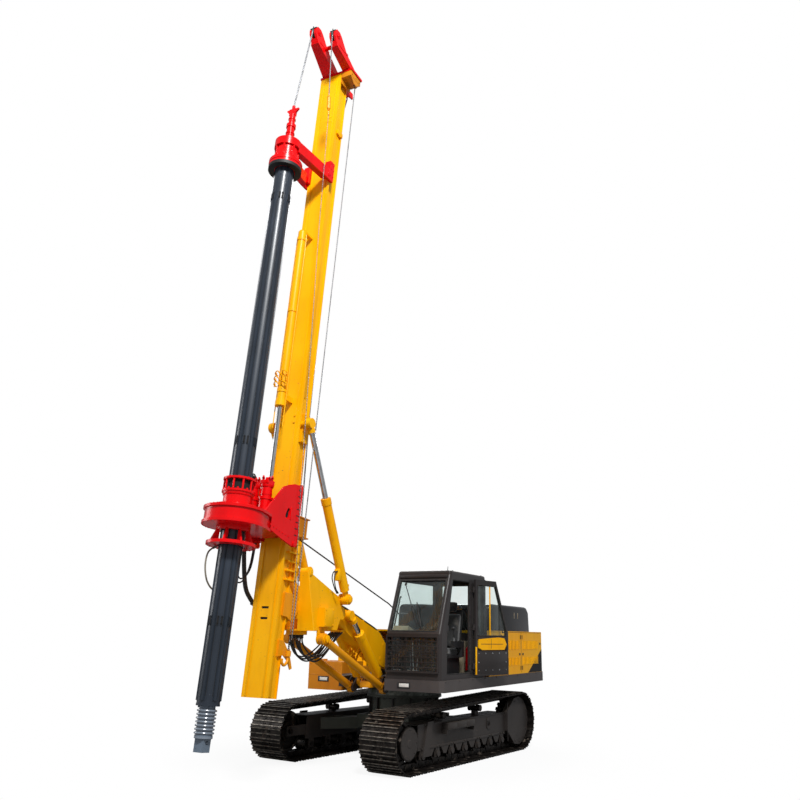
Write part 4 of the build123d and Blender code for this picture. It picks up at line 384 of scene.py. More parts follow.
frame_grey = enamel("weathered_grey_brown_chassis_enamel", "2f2b29", "383330", "1d1a18", "62584b", 0.4, 0.42)
paint(frame_grey, "left_track_frame", "right_track_frame")
car_body_green = enamel("grey_green_car_body_enamel", "454840", "4f524a", "2b2d28", "6f6a5c", 0.3, 0.42)
paint(car_body_green, "car_body")
paint(track_steel, "track_rollers", "track_idlers", "track_sprockets")
ROLLER_YS = [-1.33 + 2.55 * i / 6 for i in range(7)]
FRAME_FACE, FRAME_SKIRT, FRAME_HIGH = 0.17, 0.29, 0.65
for side, name in ((1, "left"), (-1, "right")):
    on_frame = PARKED @ Matrix.Diagonal((side, 1, 1, 1)) @ Matrix.Translation((GAUGE_HALF, 0, 0))
    bm = bmesh.new()
    slab(bm, (FRAME_FACE, FRAME_FACE + 0.12), (-0.79, 0.06), (0.53, 0.636), 0.012)
    for y in (-0.65, -0.365, -0.08):
        slab(bm, (FRAME_FACE + 0.118, FRAME_FACE + 0.124), (y - 0.115, y + 0.115), (0.548, 0.618), 0.003)
    for y in (-0.79, 0.052):
        slab(bm, (FRAME_FACE, FRAME_FACE + 0.1), (y, y + 0.008), (0.47, 0.54))
    for z in (0.472, 0.548):
        pin(bm, (FRAME_FACE - 0.002, FRAME_FACE + 0.014), 0.717, z, 0.056, 24)
    slab(bm, (FRAME_FACE - 0.002, FRAME_FACE + 0.014), (0.661, 0.773), (0.472, 0.548))
    slab(bm, (FRAME_FACE, FRAME_FACE + 0.012), (-1.29, 1.1), (FRAME_SKIRT + 0.004, FRAME_SKIRT + 0.044), 0.004)
    slab(bm, (FRAME_FACE, FRAME_FACE + 0.01), (-1.29, 1.28), (FRAME_HIGH - 0.022, FRAME_HIGH - 0.004), 0.003)
    for y in ROLLER_YS:
        for edge in (-0.036, 0.036):
            bolt(bm, (FRAME_FACE + 0.012, y + edge, 0.312), (1, 0, 0), 0.012)
        pin(bm, (FRAME_FACE + 0.006, FRAME_FACE + 0.022), y, 0.206, 0.046, 20)
    for first, second in zip(ROLLER_YS, ROLLER_YS[1:]):
        middle = (first + second) / 2
        guard = slab(bm, (FRAME_FACE - 0.03, FRAME_FACE + 0.004), (middle - 0.115, middle + 0.115), (0.19, 0.292))
        for corner in guard:
            if corner.co.z < 0.25:
                corner.co.y = middle + (corner.co.y - middle) * 0.35
    slab(bm, (0.222, 0.226), (1.344, 1.356), (0.17, 0.8))
    bolt_ring(bm, (0.222, *SPROCKET), 0.352, [math.radians(-112 + 28 * i) for i in range(9)], (1, 0, 0), 0.011)
    pin(bm, (0.221, 0.224), 1.7, 0.26, 0.03, 20)
    brace = slab(bm, (FRAME_FACE, FRAME_FACE + 0.03), (-1.3, -1.13), (0.195, 0.676))
    for corner in brace:
        corner.co.y += (corner.co.z - 0.436) * 0.28
    finished(bm, f"{name}_frame_fittings", frame_grey, "base", on_frame)

    bm = bmesh.new()
    y, z = IDLER
    pin(bm, (0.262, 0.268), y, z, 0.214, 48)
    pin(bm, (0.266, 0.274), y, z, 0.06, 28, 0.05)
    bolt_ring(bm, (0.268, y, z), 0.19, turns(8), (1, 0, 0), 0.008)
    finished(bm, f"{name}_idler_cover", frame_grey, "base", on_frame)


# Slew bearing: a machined ball race between two bolted rings, grey-green with old grease,
# with its bolts under the lower flange and a rubber lip seal in the groove.
bearing_steel = rough_steel("greased_machined_bearing_steel", "4b4f49", "6d716a", "5b5f4e", 0.06, 0.38)
paint(bearing_steel, "slew_ring")
bm = bmesh.new()
bolt_ring(bm, (0, 0, 0.92), 0.6, turns(36), (0, 0, -1), 0.016)
for turn in turns(12, 0.5):
    fin = slab(bm, (0.556, 0.606), (-0.01, 0.01), (0.65, 0.918))
    bmesh.ops.transform(bm, matrix=Matrix.Rotation(turn, 4, "Z"), verts=fin)
finished(bm, "bearing_bolts", frame_grey, "base", PARKED)


# Upper deck: a welded plate frame with a grey skirt, hollow underneath. Bolted wear strips,
# a blank plate under the cab and drain slots break up the long sides.
skirt_grey = enamel("grey_skirt_enamel", "423c3b", "4d4745", "2b2726", "7d7263", 0.35, 0.38)
paint(skirt_grey, "revolving_frame")
bm = bmesh.new()
for x in (-1.5, 1.5):
    out = 1 if x > 0 else -1
    first = -1.5 if x > 0 else -0.1
    for i in range(9):
        y = first + (2.54 - first) * i / 8
        bolt(bm, (x, y, 1.262), (out, 0, 0), 0.01)
    slab(bm, (x, x + out * 0.006), (first - 0.02, 2.56), (1.11, 1.132))
for x in [-1.15 + 0.23 * i for i in range(11)]:
    bolt(bm, (x, 2.981, 1.262), (0, 1, 0), 0.01)
finished(bm, "skirt_fittings", skirt_grey, "upper")


# Cab: a pressed and welded steel shell in dark grey, with rubber-sealed panes, a bolted
# lower door panel, and a bar guard over the lower windscreen. The door stands open,
# folded back along the side.
cab_grey = enamel("dark_grey_cab_enamel", "2b2726", "342f2e", "1b1817", "6e655a", 0.28, 0.34)
paint(cab_grey, "cab_frame", "cab_roof", "front_guard", "cab_door")


def rubber(name, colour, roughness):
    """Moulded black rubber: matt, with a fine grain and pale dust in it."""
    material, place = textured(name)
    tone = blend_colours(material, mottle(material, place, 35, 5, 0.45, 0.8), colour, "4a4642")
    grain = add(material, "ShaderNodeTexNoise", {"Vector": place, "Scale": 700.0, "Detail": 3.0})
    return coated(material, grain.outputs["Fac"], 0.2, 0.6, {"Base Color": tone, "Roughness": roughness})


def tinted_glass(name, tint):
    """Toughened flat safety glass with a faint green-grey tint and a film of dust."""
    material, place = textured(name)
    film = between(material, mottle(material, place, 300, 6, 0.35, 0.75), 0.01, 0.05)
    clear = add(material, "ShaderNodeBsdfTransparent", {"Color": linear(tint)})
    gloss = add(material, "ShaderNodeBsdfGlossy", {"Color": linear("ffffff"), "Roughness": 0.03})
    edge = add(material, "ShaderNodeLayerWeight", {"Blend": 0.12}).outputs["Facing"]
    pane = mixed(material, between(material, edge, 0.02, 0.12), clear, gloss)
    dust = add(material, "ShaderNodeBsdfDiffuse", {"Color": linear("aab0ad")})
    add(material, "ShaderNodeOutputMaterial", {"Surface": mixed(material, film, pane, dust).outputs[0]})
    return material


seal_rubber = rubber("extruded_window_seal_rubber", "141313", 0.75)
cab_panes = tinted_glass("toughened_cab_glass", "f2f7f6")
paint(cab_panes, "cab_glass", "door_glass")


def beading(bm, corners, radius):
    """A closed run of round beading through the given corners."""
    for first, second in zip(corners, corners[1:] + corners[:1]):
        bar(bm, first, second, radius, 8)
    for corner in corners:
        bmesh.ops.create_icosphere(bm, subdivisions=1, radius=radius, matrix=Matrix.Translation(corner))


def pane_seal(bm, x, y, z, radius):
    """Beading round an upright pane: across x at one y, or along y at one x."""
    if isinstance(y, tuple):
        beading(bm, [(x, y[0], z[0]), (x, y[1], z[0]), (x, y[1], z[1]), (x, y[0], z[1])], radius)
    else:
        beading(bm, [(x[0], y, z[0]), (x[1], y, z[0]), (x[1], y, z[1]), (x[0], y, z[1])], radius)


def front_y(z):
    """Where the raked windscreen's outer face is at a height."""
    return -1.6 + 0.35 * (z - 1.95) / 0.91


bm = bmesh.new()
beading(bm, [(0.574, front_y(1.987) + 0.004, 1.987), (1.396, front_y(1.987) + 0.004, 1.987),
             (1.396, front_y(2.766) + 0.004, 2.766), (0.574, front_y(2.766) + 0.004, 2.766)], 0.011)
pane_seal(bm, (0.574, 1.396), -1.598, (1.402, 1.898), 0.01)
pane_seal(bm, 1.462, (-0.366, 0.066), (1.904, 2.766), 0.01)
pane_seal(bm, (0.634, 1.336), 0.152, (1.964, 2.766), 0.01)
beading(bm, [(0.508, -1.476, 1.904), (0.508, 0.056, 1.904), (0.508, 0.056, 2.766), (0.508, -1.18, 2.766),
             (0.508, -1.476, 1.99)], 0.01)
beading(bm, [(1.45, -1.372, 1.363), (1.45, -0.498, 1.363), (1.45, -0.498, 2.778), (1.45, -1.17, 2.778),
             (1.45, -1.372, 1.99)], 0.009)
bar(bm, (0.7, front_y(2.7) - 0.018, 2.7), (1.04, front_y(2.08) - 0.018, 2.08), 0.007, 8)
bar(bm, (0.69, front_y(2.72) + 0.01, 2.72), (0.7, front_y(2.7) - 0.02, 2.7), 0.018, 12)
bar(bm, (0.96, front_y(2.42) - 0.012, 2.42), (1.11, front_y(2.06) - 0.012, 2.06), 0.01, 8)
finished(bm, "window_seals_and_wiper", seal_rubber, "upper")

bm = bmesh.new()
guard_y = -1.64
for i in range(11):
    x = 0.557 + (1.413 - 0.557) * i / 10
    post(bm, x, guard_y + 0.006, (1.405, 1.9), 0.004, 8)
for i in range(1, 8):
    z = 1.407 + (1.9 - 1.407) * i / 8
    pin(bm, (0.557, 1.413), guard_y + 0.014, z, 0.0035, 8)
for x in (0.546, 1.424):
    for z in (1.45, 1.65, 1.86):
        bolt(bm, (x, guard_y, z), (0, -1, 0), 0.008)
finished(bm, "guard_bars", cab_grey, "upper")

bm = bmesh.new()
slab(bm, (0.64, 1.33), (-1.02, -0.42), (2.92, 2.936), 0.008)
slab(bm, (0.56, 1.41), (front_y(2.82) - 0.03, front_y(2.82) + 0.01), (2.806, 2.852), 0.01)
post(bm, 1.18, -0.78, (2.918, 2.96), 0.02, 12, 0.012)
bar(bm, (1.18, -0.78, 2.955), (1.18, -0.77, 3.02), 0.006, 6, 0.004)
for x, y in ((0.56, -1.08), (1.41, -1.08), (0.56, 0.06), (1.41, 0.06)):
    bolt(bm, (x, y, 2.919), (0, 0, 1), 0.012)
bar(bm, (0.492, -1.3, 2.05), (0.492, -1.12, 2.52), 0.012, 10)
for y, z in ((-1.3, 2.05), (-1.12, 2.52)):
    pin(bm, (0.492, 0.512), y, z, 0.012, 10)
post(bm, 1.48, 0.118, (1.42, 2.42), 0.012, 12)
for z in (1.44, 2.4):
    pin(bm, (1.458, 1.48), 0.118, z, 0.012, 10)
for z in (1.32, 1.365):
    for y in (-0.36, -0.2, -0.04, 0.1):
        bolt(bm, (1.46, y, z + 0.02), (1, 0, 0), 0.007)
finished(bm, "cab_roof_and_rails", cab_grey, "upper")
bm = bmesh.new()
slab(bm, (0.6, 1.37), (-1.545, -1.537), (1.37, 1.9), 0.002)
finished(bm, "front_kick_panel", cab_grey, "upper")
zinc = rough_steel("zinc_plated_screw_steel", "8f9194", "c3c5c7", "7a756b", 0.0, 0.3)
bm = bmesh.new()
for x, lean, high in ((0.93, 0.03, 1.84), (0.985, -0.02, 1.8), (1.04, 0.045, 1.86), (0.72, 0.02, 1.64)):
    knob = (x + lean, -1.566, high)
    bar(bm, (x, -1.56, 1.42), knob, 0.007, 8, 0.005)
    bmesh.ops.create_icosphere(bm, subdivisions=2, radius=0.013, matrix=Matrix.Translation(knob))
for x in ((0.64, 0.78), (0.88, 1.08)):
    slab(bm, x, (-1.575, -1.546), (1.395, 1.42), 0.004)
finished(bm, "front_levers", zinc, "upper")

# The door's own fittings are made closed and then swung with it: a bolted panel, a pull
# handle and lock, and the seal round its pane.
HINGE = Vector((1.492, -0.44, 0.0))
OPEN = Matrix.Translation(HINGE) @ Matrix.Rotation(math.radians(168), 4, "Z") @ Matrix.Translation(-HINGE)
DOOR_IN, DOOR_OUT = 1.468, 1.503
bm = bmesh.new()
for i in range(8):
    y = -1.4 + 0.905 * i / 7
    for z in (1.335, 1.895):
        bolt(bm, (DOOR_OUT, y, z), (1, 0, 0), 0.008)
for i in range(1, 5):
    z = 1.335 + 0.56 * i / 5
    for y in (-1.4, -0.495):
        bolt(bm, (DOOR_OUT, y, z), (1, 0, 0), 0.008)
slab(bm, (DOOR_IN - 0.004, DOOR_IN + 0.004), (-1.385, -0.512), (1.345, 1.69), 0.002)
slab(bm, (DOOR_OUT - 0.002, DOOR_OUT + 0.014), (-1.39, -1.25), (1.8, 1.855), 0.006)
post(bm, DOOR_OUT + 0.04, -1.36, (1.98, 2.26), 0.01, 10)
for z in (1.995, 2.245):
    pin(bm, (DOOR_OUT - 0.002, DOOR_OUT + 0.04), -1.36, z, 0.01, 10)
finished(bm, "door_fittings", cab_grey, "cab_door", OPEN)
bm = bmesh.new()
for y in (-1.34, -1.14, -0.94, -0.74, -0.545):
    for z in (1.395, 1.658):
        bolt(bm, (DOOR_IN - 0.004, y, z), (-1, 0, 0), 0.009)
for y in (-1.34, -0.545):
    bolt(bm, (DOOR_IN - 0.004, y, 1.518), (-1, 0, 0), 0.009)
finished(bm, "door_screws", zinc, "cab_door", OPEN)
bm = bmesh.new()
for x in (DOOR_IN + 0.002, DOOR_OUT - 0.002):
    beading(bm, [(x, -0.527, 1.934), (x, -0.527, 2.746), (x, -1.063, 2.746), (x, -1.366, 2.008),
                 (x, -1.366, 1.934)], 0.01)
finished(bm, "door_seal", seal_rubber, "cab_door", OPEN)


# Cab interior: moulded plastic consoles and floor mat, levers with rubber boots and round
# knobs, a screen on the pillar, and a red dry-powder extinguisher behind the seat.
def moulding(name, colour, shade, roughness):
    """Injection-moulded plastic with a fine spark-eroded grain."""
    material, place = textured(name)
    tone = blend_colours(material, mottle(material, place, 250, 4, 0.4, 0.7), colour, shade)
    grain = add(material, "ShaderNodeTexVoronoi", {"Vector": place, "Scale": 420.0})
    return coated(material, grain.outputs["Distance"], 0.15, 0.8, {"Base Color": tone, "Roughness": roughness})


console_beige = moulding("grained_beige_moulding", "9a8e78", "83785f", 0.55)
black_moulding = moulding("grained_black_moulding", "1b1b1c", "262525", 0.5)
paint(console_beige, "cab_consoles")
paint(black_moulding, "cab_floor", "seat_frame")
SEAT_X, SEAT_Y, FLOOR_Z = 0.985, -0.56, 1.3253
bm = bmesh.new()
for side in (-1, 1):
    x = SEAT_X + side * 0.27
    post(bm, x, SEAT_Y - 0.13, (FLOOR_Z + 0.518, FLOOR_Z + 0.575), 0.042, 16, 0.016)
    bar(bm, (x, SEAT_Y - 0.13, FLOOR_Z + 0.57), (x, SEAT_Y - 0.15, FLOOR_Z + 0.69), 0.012, 10)
    bmesh.ops.create_uvsphere(bm, u_segments=14, v_segments=10, radius=0.03,
                              matrix=Matrix.Translation((x, SEAT_Y - 0.152, FLOOR_Z + 0.715)))
for x in (SEAT_X - 0.07, SEAT_X + 0.07):
    slab(bm, (x - 0.045, x + 0.045), (-1.42, -1.24), (FLOOR_Z, FLOOR_Z + 0.03), 0.006)
    bar(bm, (x, -1.33, FLOOR_Z + 0.02), (x, -1.26, FLOOR_Z + 0.42), 0.011, 10)
    bmesh.ops.create_uvsphere(bm, u_segments=12, v_segments=8, radius=0.022,
                              matrix=Matrix.Translation((x, -1.256, FLOOR_Z + 0.435)))
slab(bm, (0.575, 0.625), (-1.3, -1.06), (2.08, 2.26), 0.012)
bar(bm, (0.565, -1.2, 2.05), (0.6, -1.19, 2.1), 0.014, 10)
slab(bm, (1.34, 1.4), (-1.3, -1.18), (1.96, 2.08), 0.012)
for y in [-1.45 + 0.085 * i for i in range(18)]:
    slab(bm, (0.86, 1.38), (y, y + 0.045), (FLOOR_Z, FLOOR_Z + 0.005))
finished(bm, "cab_controls", black_moulding, "upper")

signal_red = enamel("gloss_signal_red_enamel", "cc0712", "c0060f", "7d0509", "8f4a40", 0.14, 0.26, "5a1512")
bm = bmesh.new()
post(bm, 1.33, -0.25, (FLOOR_Z + 0.06, FLOOR_Z + 0.4), 0.062, 24)
post(bm, 1.33, -0.25, (FLOOR_Z + 0.4, FLOOR_Z + 0.45), 0.062, 24, 0.022)
finished(bm, "extinguisher_body", signal_red, "upper")


# Seat: foam cushions in black woven cloth on a moulded shell. Each pad is a rounded block
# of foam that its cover pulls tight.
def woven_cloth(name, thread, gap, thread_mm):
    """Plain-woven polyester. A real thread is under 1 mm, and is drawn at thread_mm here
    so that the weave shows through the cab's panes."""
    material, place = textured(name)
    pitch = 1000 / thread_mm / 2
    warp, weft = (add(material, "ShaderNodeTexWave", {"Vector": place, "Scale": pitch / 3.14, "Distortion": 0.6},
                      bands_direction=direction).outputs["Fac"] for direction in "XZ")
    weave = add(material, "ShaderNodeMath", {0: warp, 1: weft}, operation="MULTIPLY").outputs[0]
    tone = blend_colours(material, weave, gap, thread)
    tone = blend_colours(material, mottle(material, place, 120, 5, 0.5, 0.85), tone, "5d5850")
    return coated(material, weave, 0.5, 1.0, {
        "Base Color": tone, "Roughness": 0.9, "Sheen Weight": 0.4, "Sheen Roughness": 0.5})


seat_cloth = woven_cloth("black_woven_seat_cloth", "2c2b2c", "0d0d0e", 3.0)


def soft_pad(name, half, low, high, swell_mm):
    """A foam pad between two levels, each the front, back and height from the seat's place on
    the floor: shrunk a little, remeshed, puffed by cloth pressure with its movement capped,
    and smoothed."""
    corners = [(SEAT_X + side * half, SEAT_Y + level[end], FLOOR_Z + level[2])
               for level in (low, high) for side, end in ((-1, 0), (1, 0), (1, 1), (-1, 1))]
    shape = bmesh.new()
    points = [shape.verts.new(corner) for corner in corners]
    for face in ((0, 1, 2, 3), (4, 7, 6, 5), (0, 4, 5, 1), (1, 5, 6, 2), (2, 6, 7, 3), (3, 7, 4, 0)):
        shape.faces.new([points[i] for i in face])
    centre = sum((point.co for point in points), Vector()) / 8
    for point in points:
        point.co = centre + (point.co - centre) * 0.97
    bmesh.ops.recalc_face_normals(shape, faces=shape.faces)
    bmesh.ops.bevel(shape, geom=shape.edges[:], offset=0.03, segments=4, profile=0.5, affect="EDGES", material=-1)
    mesh = bpy.data.meshes.new(name)
    shape.to_mesh(mesh)
    shape.free()
    pad = bpy.data.objects.new(name, mesh)
    bpy.context.scene.collection.objects.link(pad)
    bpy.context.view_layer.objects.active = pad
    pad.select_set(True)
    remesh = pad.modifiers.new("remesh", "REMESH")
    remesh.mode = "VOXEL"
    remesh.voxel_size = 0.008
    bpy.ops.object.modifier_apply(modifier="remesh")
    rest = [vert.co.copy() for vert in pad.data.vertices]
    cloth = pad.modifiers.new("cloth", "CLOTH")
    cloth.settings.use_pressure = True
    cloth.settings.uniform_pressure_force = 4.0
    cloth.settings.effector_weights.gravity = 0.0
    cloth.point_cache.frame_end = 20
    for step in range(1, 21):
        bpy.context.scene.frame_set(step)
    puffed = pad.evaluated_get(bpy.context.evaluated_depsgraph_get()).to_mesh()
    moved = [vert.co.copy() for vert in puffed.vertices]
    pad.modifiers.remove(cloth)
    bpy.context.scene.frame_set(1)
    for vert, start, end in zip(pad.data.vertices, rest, moved):
        shift = end - start
        if shift.length > swell_mm / 1000:
            shift *= swell_mm / 1000 / shift.length
        vert.co = start + shift
    smooth = pad.modifiers.new("smooth", "SUBSURF")
    smooth.levels = smooth.render_levels = 1
    bpy.ops.object.modifier_apply(modifier="smooth")
    pad.data.shade_smooth()
    pad.data.materials.append(seat_cloth)
    pad.select_set(False)
    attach(pad, "upper")
    return pad


squab = soft_pad("seat_squab", 0.222, (-0.262, 0.188, 0.303), (-0.262, 0.188, 0.402), 9)
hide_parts("seat_cushion")
soft_pad("seat_backrest", 0.212, (0.108, 0.232, 0.412), (0.233, 0.341, 0.962), 9)
soft_pad("seat_headrest", 0.118, (0.257, 0.345, 0.988), (0.292, 0.38, 1.148), 6)


# Body covers: pressed steel doors over the pumps and coolers in glossy construction
# yellow, with pressed louvres, dark strips of painted shade in the gaps between the
# louvre lips, dark seams between the doors, recessed latches and a dark kick panel at the
# rear corner.
def prism(bm, x, outline):
    """A flat plate between two x, from its (y, z) corners in order."""
    ends = [[bm.verts.new((end, *corner)) for corner in outline] for end in x]
    for end in ends:
        bm.faces.new(end)
    for i in range(len(outline)):
        bm.faces.new((ends[0][i - 1], ends[0][i], ends[1][i], ends[1][i - 1]))


yellow = enamel("sprayed_construction_yellow_enamel", "f8ac00", "fab604", "c07c08", "b0935e", 0.08, 0.38,
                "6b5536", 0.14)
# Matt black that is mostly painted shade: dark strips in louvre gaps, slot openings, kelly grooves and lock
# pockets, and behind the drive's window. It also makes the real dark door seams and kick panel.
shadow_black = moulding("matt_black_painted_shade_and_seams", "0d0c0c", "161413", 0.9)
bm = bmesh.new()
prism(bm, (DOOR_IN - 0.01, DOOR_IN + 0.02), (
    (-1.36, 1.8), (-1.29, 1.9), (-1.12, 1.912), (-0.545, 1.88), (-0.545, 1.745), (-0.64, 1.712),
    (-1.29, 1.712)))
slab(bm, (DOOR_IN - 0.004, DOOR_IN + 0.004), (-0.498, -0.462), (1.33, 1.76), 0.002)
slab(bm, (DOOR_IN + 0.004, DOOR_IN + 0.012), (-0.905, -0.875), (1.94, 2.74), 0.002)
finished(bm, "door_yellow_trim", yellow, "cab_door", OPEN)
bm = bmesh.new()
slab(bm, (DOOR_IN - 0.0115, DOOR_IN - 0.008), (-1.24, -0.6), (1.8, 1.808))
slab(bm, (DOOR_IN - 0.0115, DOOR_IN - 0.008), (-0.9, -0.892), (1.73, 1.89))
finished(bm, "door_trim_joints", black_moulding, "cab_door", OPEN)
paint(yellow, "left_body_cover", "right_body_cover", "middle_cover")
for side, name in ((1, "left"), (-1, "right")):
    lips, shade_strips_and_seams, latches = bmesh.new(), bmesh.new(), bmesh.new()
    for first, last in ((0.9, 1.62), (1.84, 2.62)):
        count = round((last - first) / 0.072) + 1
        for low, high in ((1.43, 1.57), (1.7, 1.86)):
            for i in range(count):
                y = first + 0.072 * i
                lip = slab(lips, (1.498, 1.51), (y, y + 0.034), (low, high))
                for corner in lip:
                    if corner.co.x > 1.505:
                        corner.co.y = y + 0.005 + (corner.co.y - y) * 0.3
                        corner.co.z = (low + high) / 2 + (corner.co.z - (low + high) / 2) * 0.9
                # A dark strip of painted shade in the gap between each lip and the next.
                slab(shade_strips_and_seams, (1.499, 1.5008), (y + 0.034, y + 0.052), (low + 0.004, high - 0.004))
    for y in (1.745, 0.7):
        slab(shade_strips_and_seams, (1.499, 1.5012), (y - 0.004, y + 0.004), (1.29, 2.015))
    slab(shade_strips_and_seams, (1.499, 1.5012), (0.2, 2.88), (2.0, 2.006))
    for y, z in ((1.66, 1.62), (1.83, 1.62), (2.8, 1.8), (0.76, 1.62)):
        slab(latches, (1.499, 1.506), (y - 0.03, y + 0.03), (z - 0.018, z + 0.018), 0.003)
    for y in (0.74, 1.7, 1.79):
        for z in (1.38, 1.92):
            post(latches, 1.504, y, (z - 0.035, z + 0.035), 0.008, 8)
    prism(shade_strips_and_seams, (1.4995, 1.5015), ((2.1, 1.284), (2.888, 1.284), (2.888, 1.7)))
    turn = Matrix.Diagonal((side, 1, 1, 1))
    finished(lips, f"{name}_louvre_lips", yellow, "upper", turn)
    finished(shade_strips_and_seams, f"{name}_louvre_gap_shade_and_seams", shadow_black, "upper", turn)
    finished(latches, f"{name}_latches_and_hinges", black_moulding, "upper", turn)


# Engine hood: two moulded covers in gloss black with large rounded edges, a joint between
# them and two short slots high on the side. The gloss catches long soft reflections.
hood_black = enamel("gloss_black_hood_enamel", "0c0a0b", "141112", "060505", "5c564e", 0.05, 0.16, "2a2624", 0.18)
HOOD_SIDES = (-0.56, 1.29)
bm = bmesh.new()
for outline in (((0.7, 2.0203), (0.74, 2.43), (0.82, 2.486), (1.185, 2.486), (1.185, 2.0203)),
                ((1.205, 2.0203), (1.205, 2.49), (2.66, 2.49), (2.78, 2.4), (2.82, 2.0203))):
    part = bmesh.new()
    prism(part, HOOD_SIDES, outline)
    bmesh.ops.recalc_face_normals(part, faces=part.faces)
    rims = [edge for edge in part.edges if max(vert.co.z for vert in edge.verts) > 2.1]
    bmesh.ops.bevel(part, geom=rims, offset=0.055, segments=5, profile=0.5, affect="EDGES", material=-1,
                    clamp_overlap=True)
    merge(part, bm)
slab(bm, (-0.53, 1.262), (1.18, 1.21), (2.0203, 2.455))
hood = finished(bm, "engine_hood_covers", hood_black, "upper", smooth=50)
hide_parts("engine_hood")
bm = bmesh.new()
for y in (1.96, 2.15):
    slab(bm, (1.2895, 1.2915), (y - 0.012, y + 0.012), (2.255, 2.365), 0.0006)
post(bm, -0.25, 2.35, (2.48, 2.489), 0.07, 24)
finished(bm, "hood_slots", console_beige, "upper")
cast_iron = rough_steel("cast_engine_iron", "2b2b29", "3c3b38", "4c4438", 0.08, 0.55)
paint(cast_iron, "engine_block")


# Counterweight: one heavy casting in the body's yellow, with two lifting eyes, a towing
# pin under a boss, and lamps in the rear face.
paint(yellow, "counterweight")
REAR = 2.958
bm = bmesh.new()
for x in (-0.55, 0.55):
    slab(bm, (x - 0.022, x + 0.022), (2.832, 2.952), (2.016, 2.08), 0.01)
    slab(bm, (x - 0.15, x + 0.15), (REAR, REAR + 0.008), (1.7, 1.82), 0.004)
bar(bm, (0, REAR - 0.002, 1.56), (0, REAR + 0.017, 1.56), 0.08, 28)
for x in (-0.62, 0.62):
    for z in (1.62, 1.9):
        bolt(bm, (x, REAR + 0.002, z), (0, 1, 0), 0.016)
finished(bm, "counterweight_fittings", yellow, "upper")
bm = bmesh.new()
for x in (-0.76, 0.76):
    slab(bm, (x - 0.08, x + 0.08), (REAR, REAR + 0.01), (1.88, 1.94), 0.004)
slab(bm, (-0.004, 0.004), (REAR + 0.0005, REAR + 0.0032), (1.5, 2.01))
finished(bm, "rear_lamps", signal_red, "upper")


# Front tank: a folded orange-brown steel tank with a welded seam round its middle, a
# filler cap and a step. A blank dark plate with a pale face is fixed to its front, and
# another to the cab's skirt.
orange = enamel("orange_brown_enamel", "c0730e", "cc8216", "7c4a0a", "8d7350", 0.22, 0.38, "4f3d28")
plate_white = enamel("blank_plate_white_enamel", "d9d6d0", "e0ded9", "b5b0a6", "a39b8a", 0.1, 0.35, "7a7468")
paint(orange, "front_tank")
TANK_FRONT = -0.84
bm = bmesh.new()
slab(bm, (-1.4335, -0.7465), (TANK_FRONT - 0.0035, -0.17), (1.246, 1.256), 0.003)
for x in (-1.395, -1.14, -0.785):
    bolt(bm, (x, TANK_FRONT, 1.425), (0, -1, 0), 0.01)
post(bm, -1.25, -0.64, (1.464, 1.5), 0.055, 24)
slab(bm, (-1.42, -1.0), (-0.835, -0.55), (1.464, 1.469), 0.001)
finished(bm, "tank_seam_and_cap", orange, "upper")
for place, front, x, z, face_x, face_z in (
    ("front", (TANK_FRONT, TANK_FRONT + 0.001), (-1.23, -1.01), (1.14, 1.228), (-1.195, -1.04), (1.16, 1.21)),
    ("skirt", (-1.604, -1.602), (0.735, 0.955), (1.155, 1.238), (0.77, 0.935), (1.172, 1.222)),
):
    bm, face = bmesh.new(), bmesh.new()
    slab(bm, x, (front[0] - 0.003, front[1]), z, 0.001)
    slab(face, face_x, (front[0] - 0.0045, front[1]), face_z, 0.001)
    finished(bm, f"{place}_plate", black_moulding, "upper")
    finished(face, f"{place}_plate_face", plate_white, "upper")


# Winch: a yellow plate frame, and a drum wound with steel wire rope, each turn laid close
# to the next. The rope is dark and shows its twisted strands.
def wire_rope(name, dark, light, lay_mm):
    """Greased galvanised wire rope: painted shade darkens the grooves between the strands, which lie at a slant,
    over a bump in the same pattern.
    """
    material, place = textured(name)
    lay = add(material, "ShaderNodeTexWave", {"Vector": place, "Scale": 1000 / lay_mm / 3.14, "Distortion": 0.3},
              bands_direction="DIAGONAL").outputs["Fac"]
    tone = blend_colours(material, lay, dark, light)
    tone = blend_colours(material, mottle(material, place, 90, 5, 0.5, 0.8), tone, "29231c")
    return coated(material, lay, 0.6, 2.0, {"Base Color": tone, "Roughness": 0.45, "Metallic": 0.7})


rope_wire = wire_rope("dark_steel_wire_rope", "1d1b1a", "4a4744", 22.0)
pale_wire = wire_rope("pale_steel_wire_rope", "66686b", "b3b6ba", 22.0)
paint(yellow, "winch_frame", "winch_drum")
WINCH = (0.64, 1.69)
bm = bmesh.new()
for layer, radius in enumerate((0.211, 0.23)):
    for i in range(19 - layer):
        x = -0.204 + 0.0225 * i + 0.011 * layer
        place = Matrix.Translation((x, WINCH[0], WINCH[1] + radius)) @ Matrix.Rotation(math.pi / 2, 4, "X")
        verts = bmesh.ops.create_circle(bm, radius=0.011, segments=6, matrix=place)["verts"]
        edges = list(dict.fromkeys(edge for vert in verts for edge in vert.link_edges))
        bmesh.ops.spin(bm, geom=verts + edges, cent=(0, *WINCH), axis=(1, 0, 0), angle=2 * math.pi, steps=40,
                       use_merge=True)
finished(bm, "drum_rope_turns", rope_wire, "winch_drum", smooth=60)
bm = bmesh.new()
for side in (-1, 1):
    bolt_ring(bm, (side * 0.24, *WINCH), 0.255, turns(8), (side, 0, 0), 0.0035)
finished(bm, "drum_bolts", yellow, "winch_drum")
bm = bmesh.new()
for side in (-1, 1):
    x = side * 0.271
    bar(bm, (x, *WINCH), (x + side * 0.03, *WINCH), 0.095, 28)
    bolt_ring(bm, (x + side * 0.03, *WINCH), 0.075, turns(6), (side, 0, 0), 0.009)
    for y in (0.45, 0.87):
        bolt(bm, (side * 0.256, y, 1.341), (0, 0, 1), 0.014)
bar(bm, (0.3, *WINCH), (0.42, *WINCH), 0.08, 24)
finished(bm, "winch_caps_and_motor", yellow, "upper")


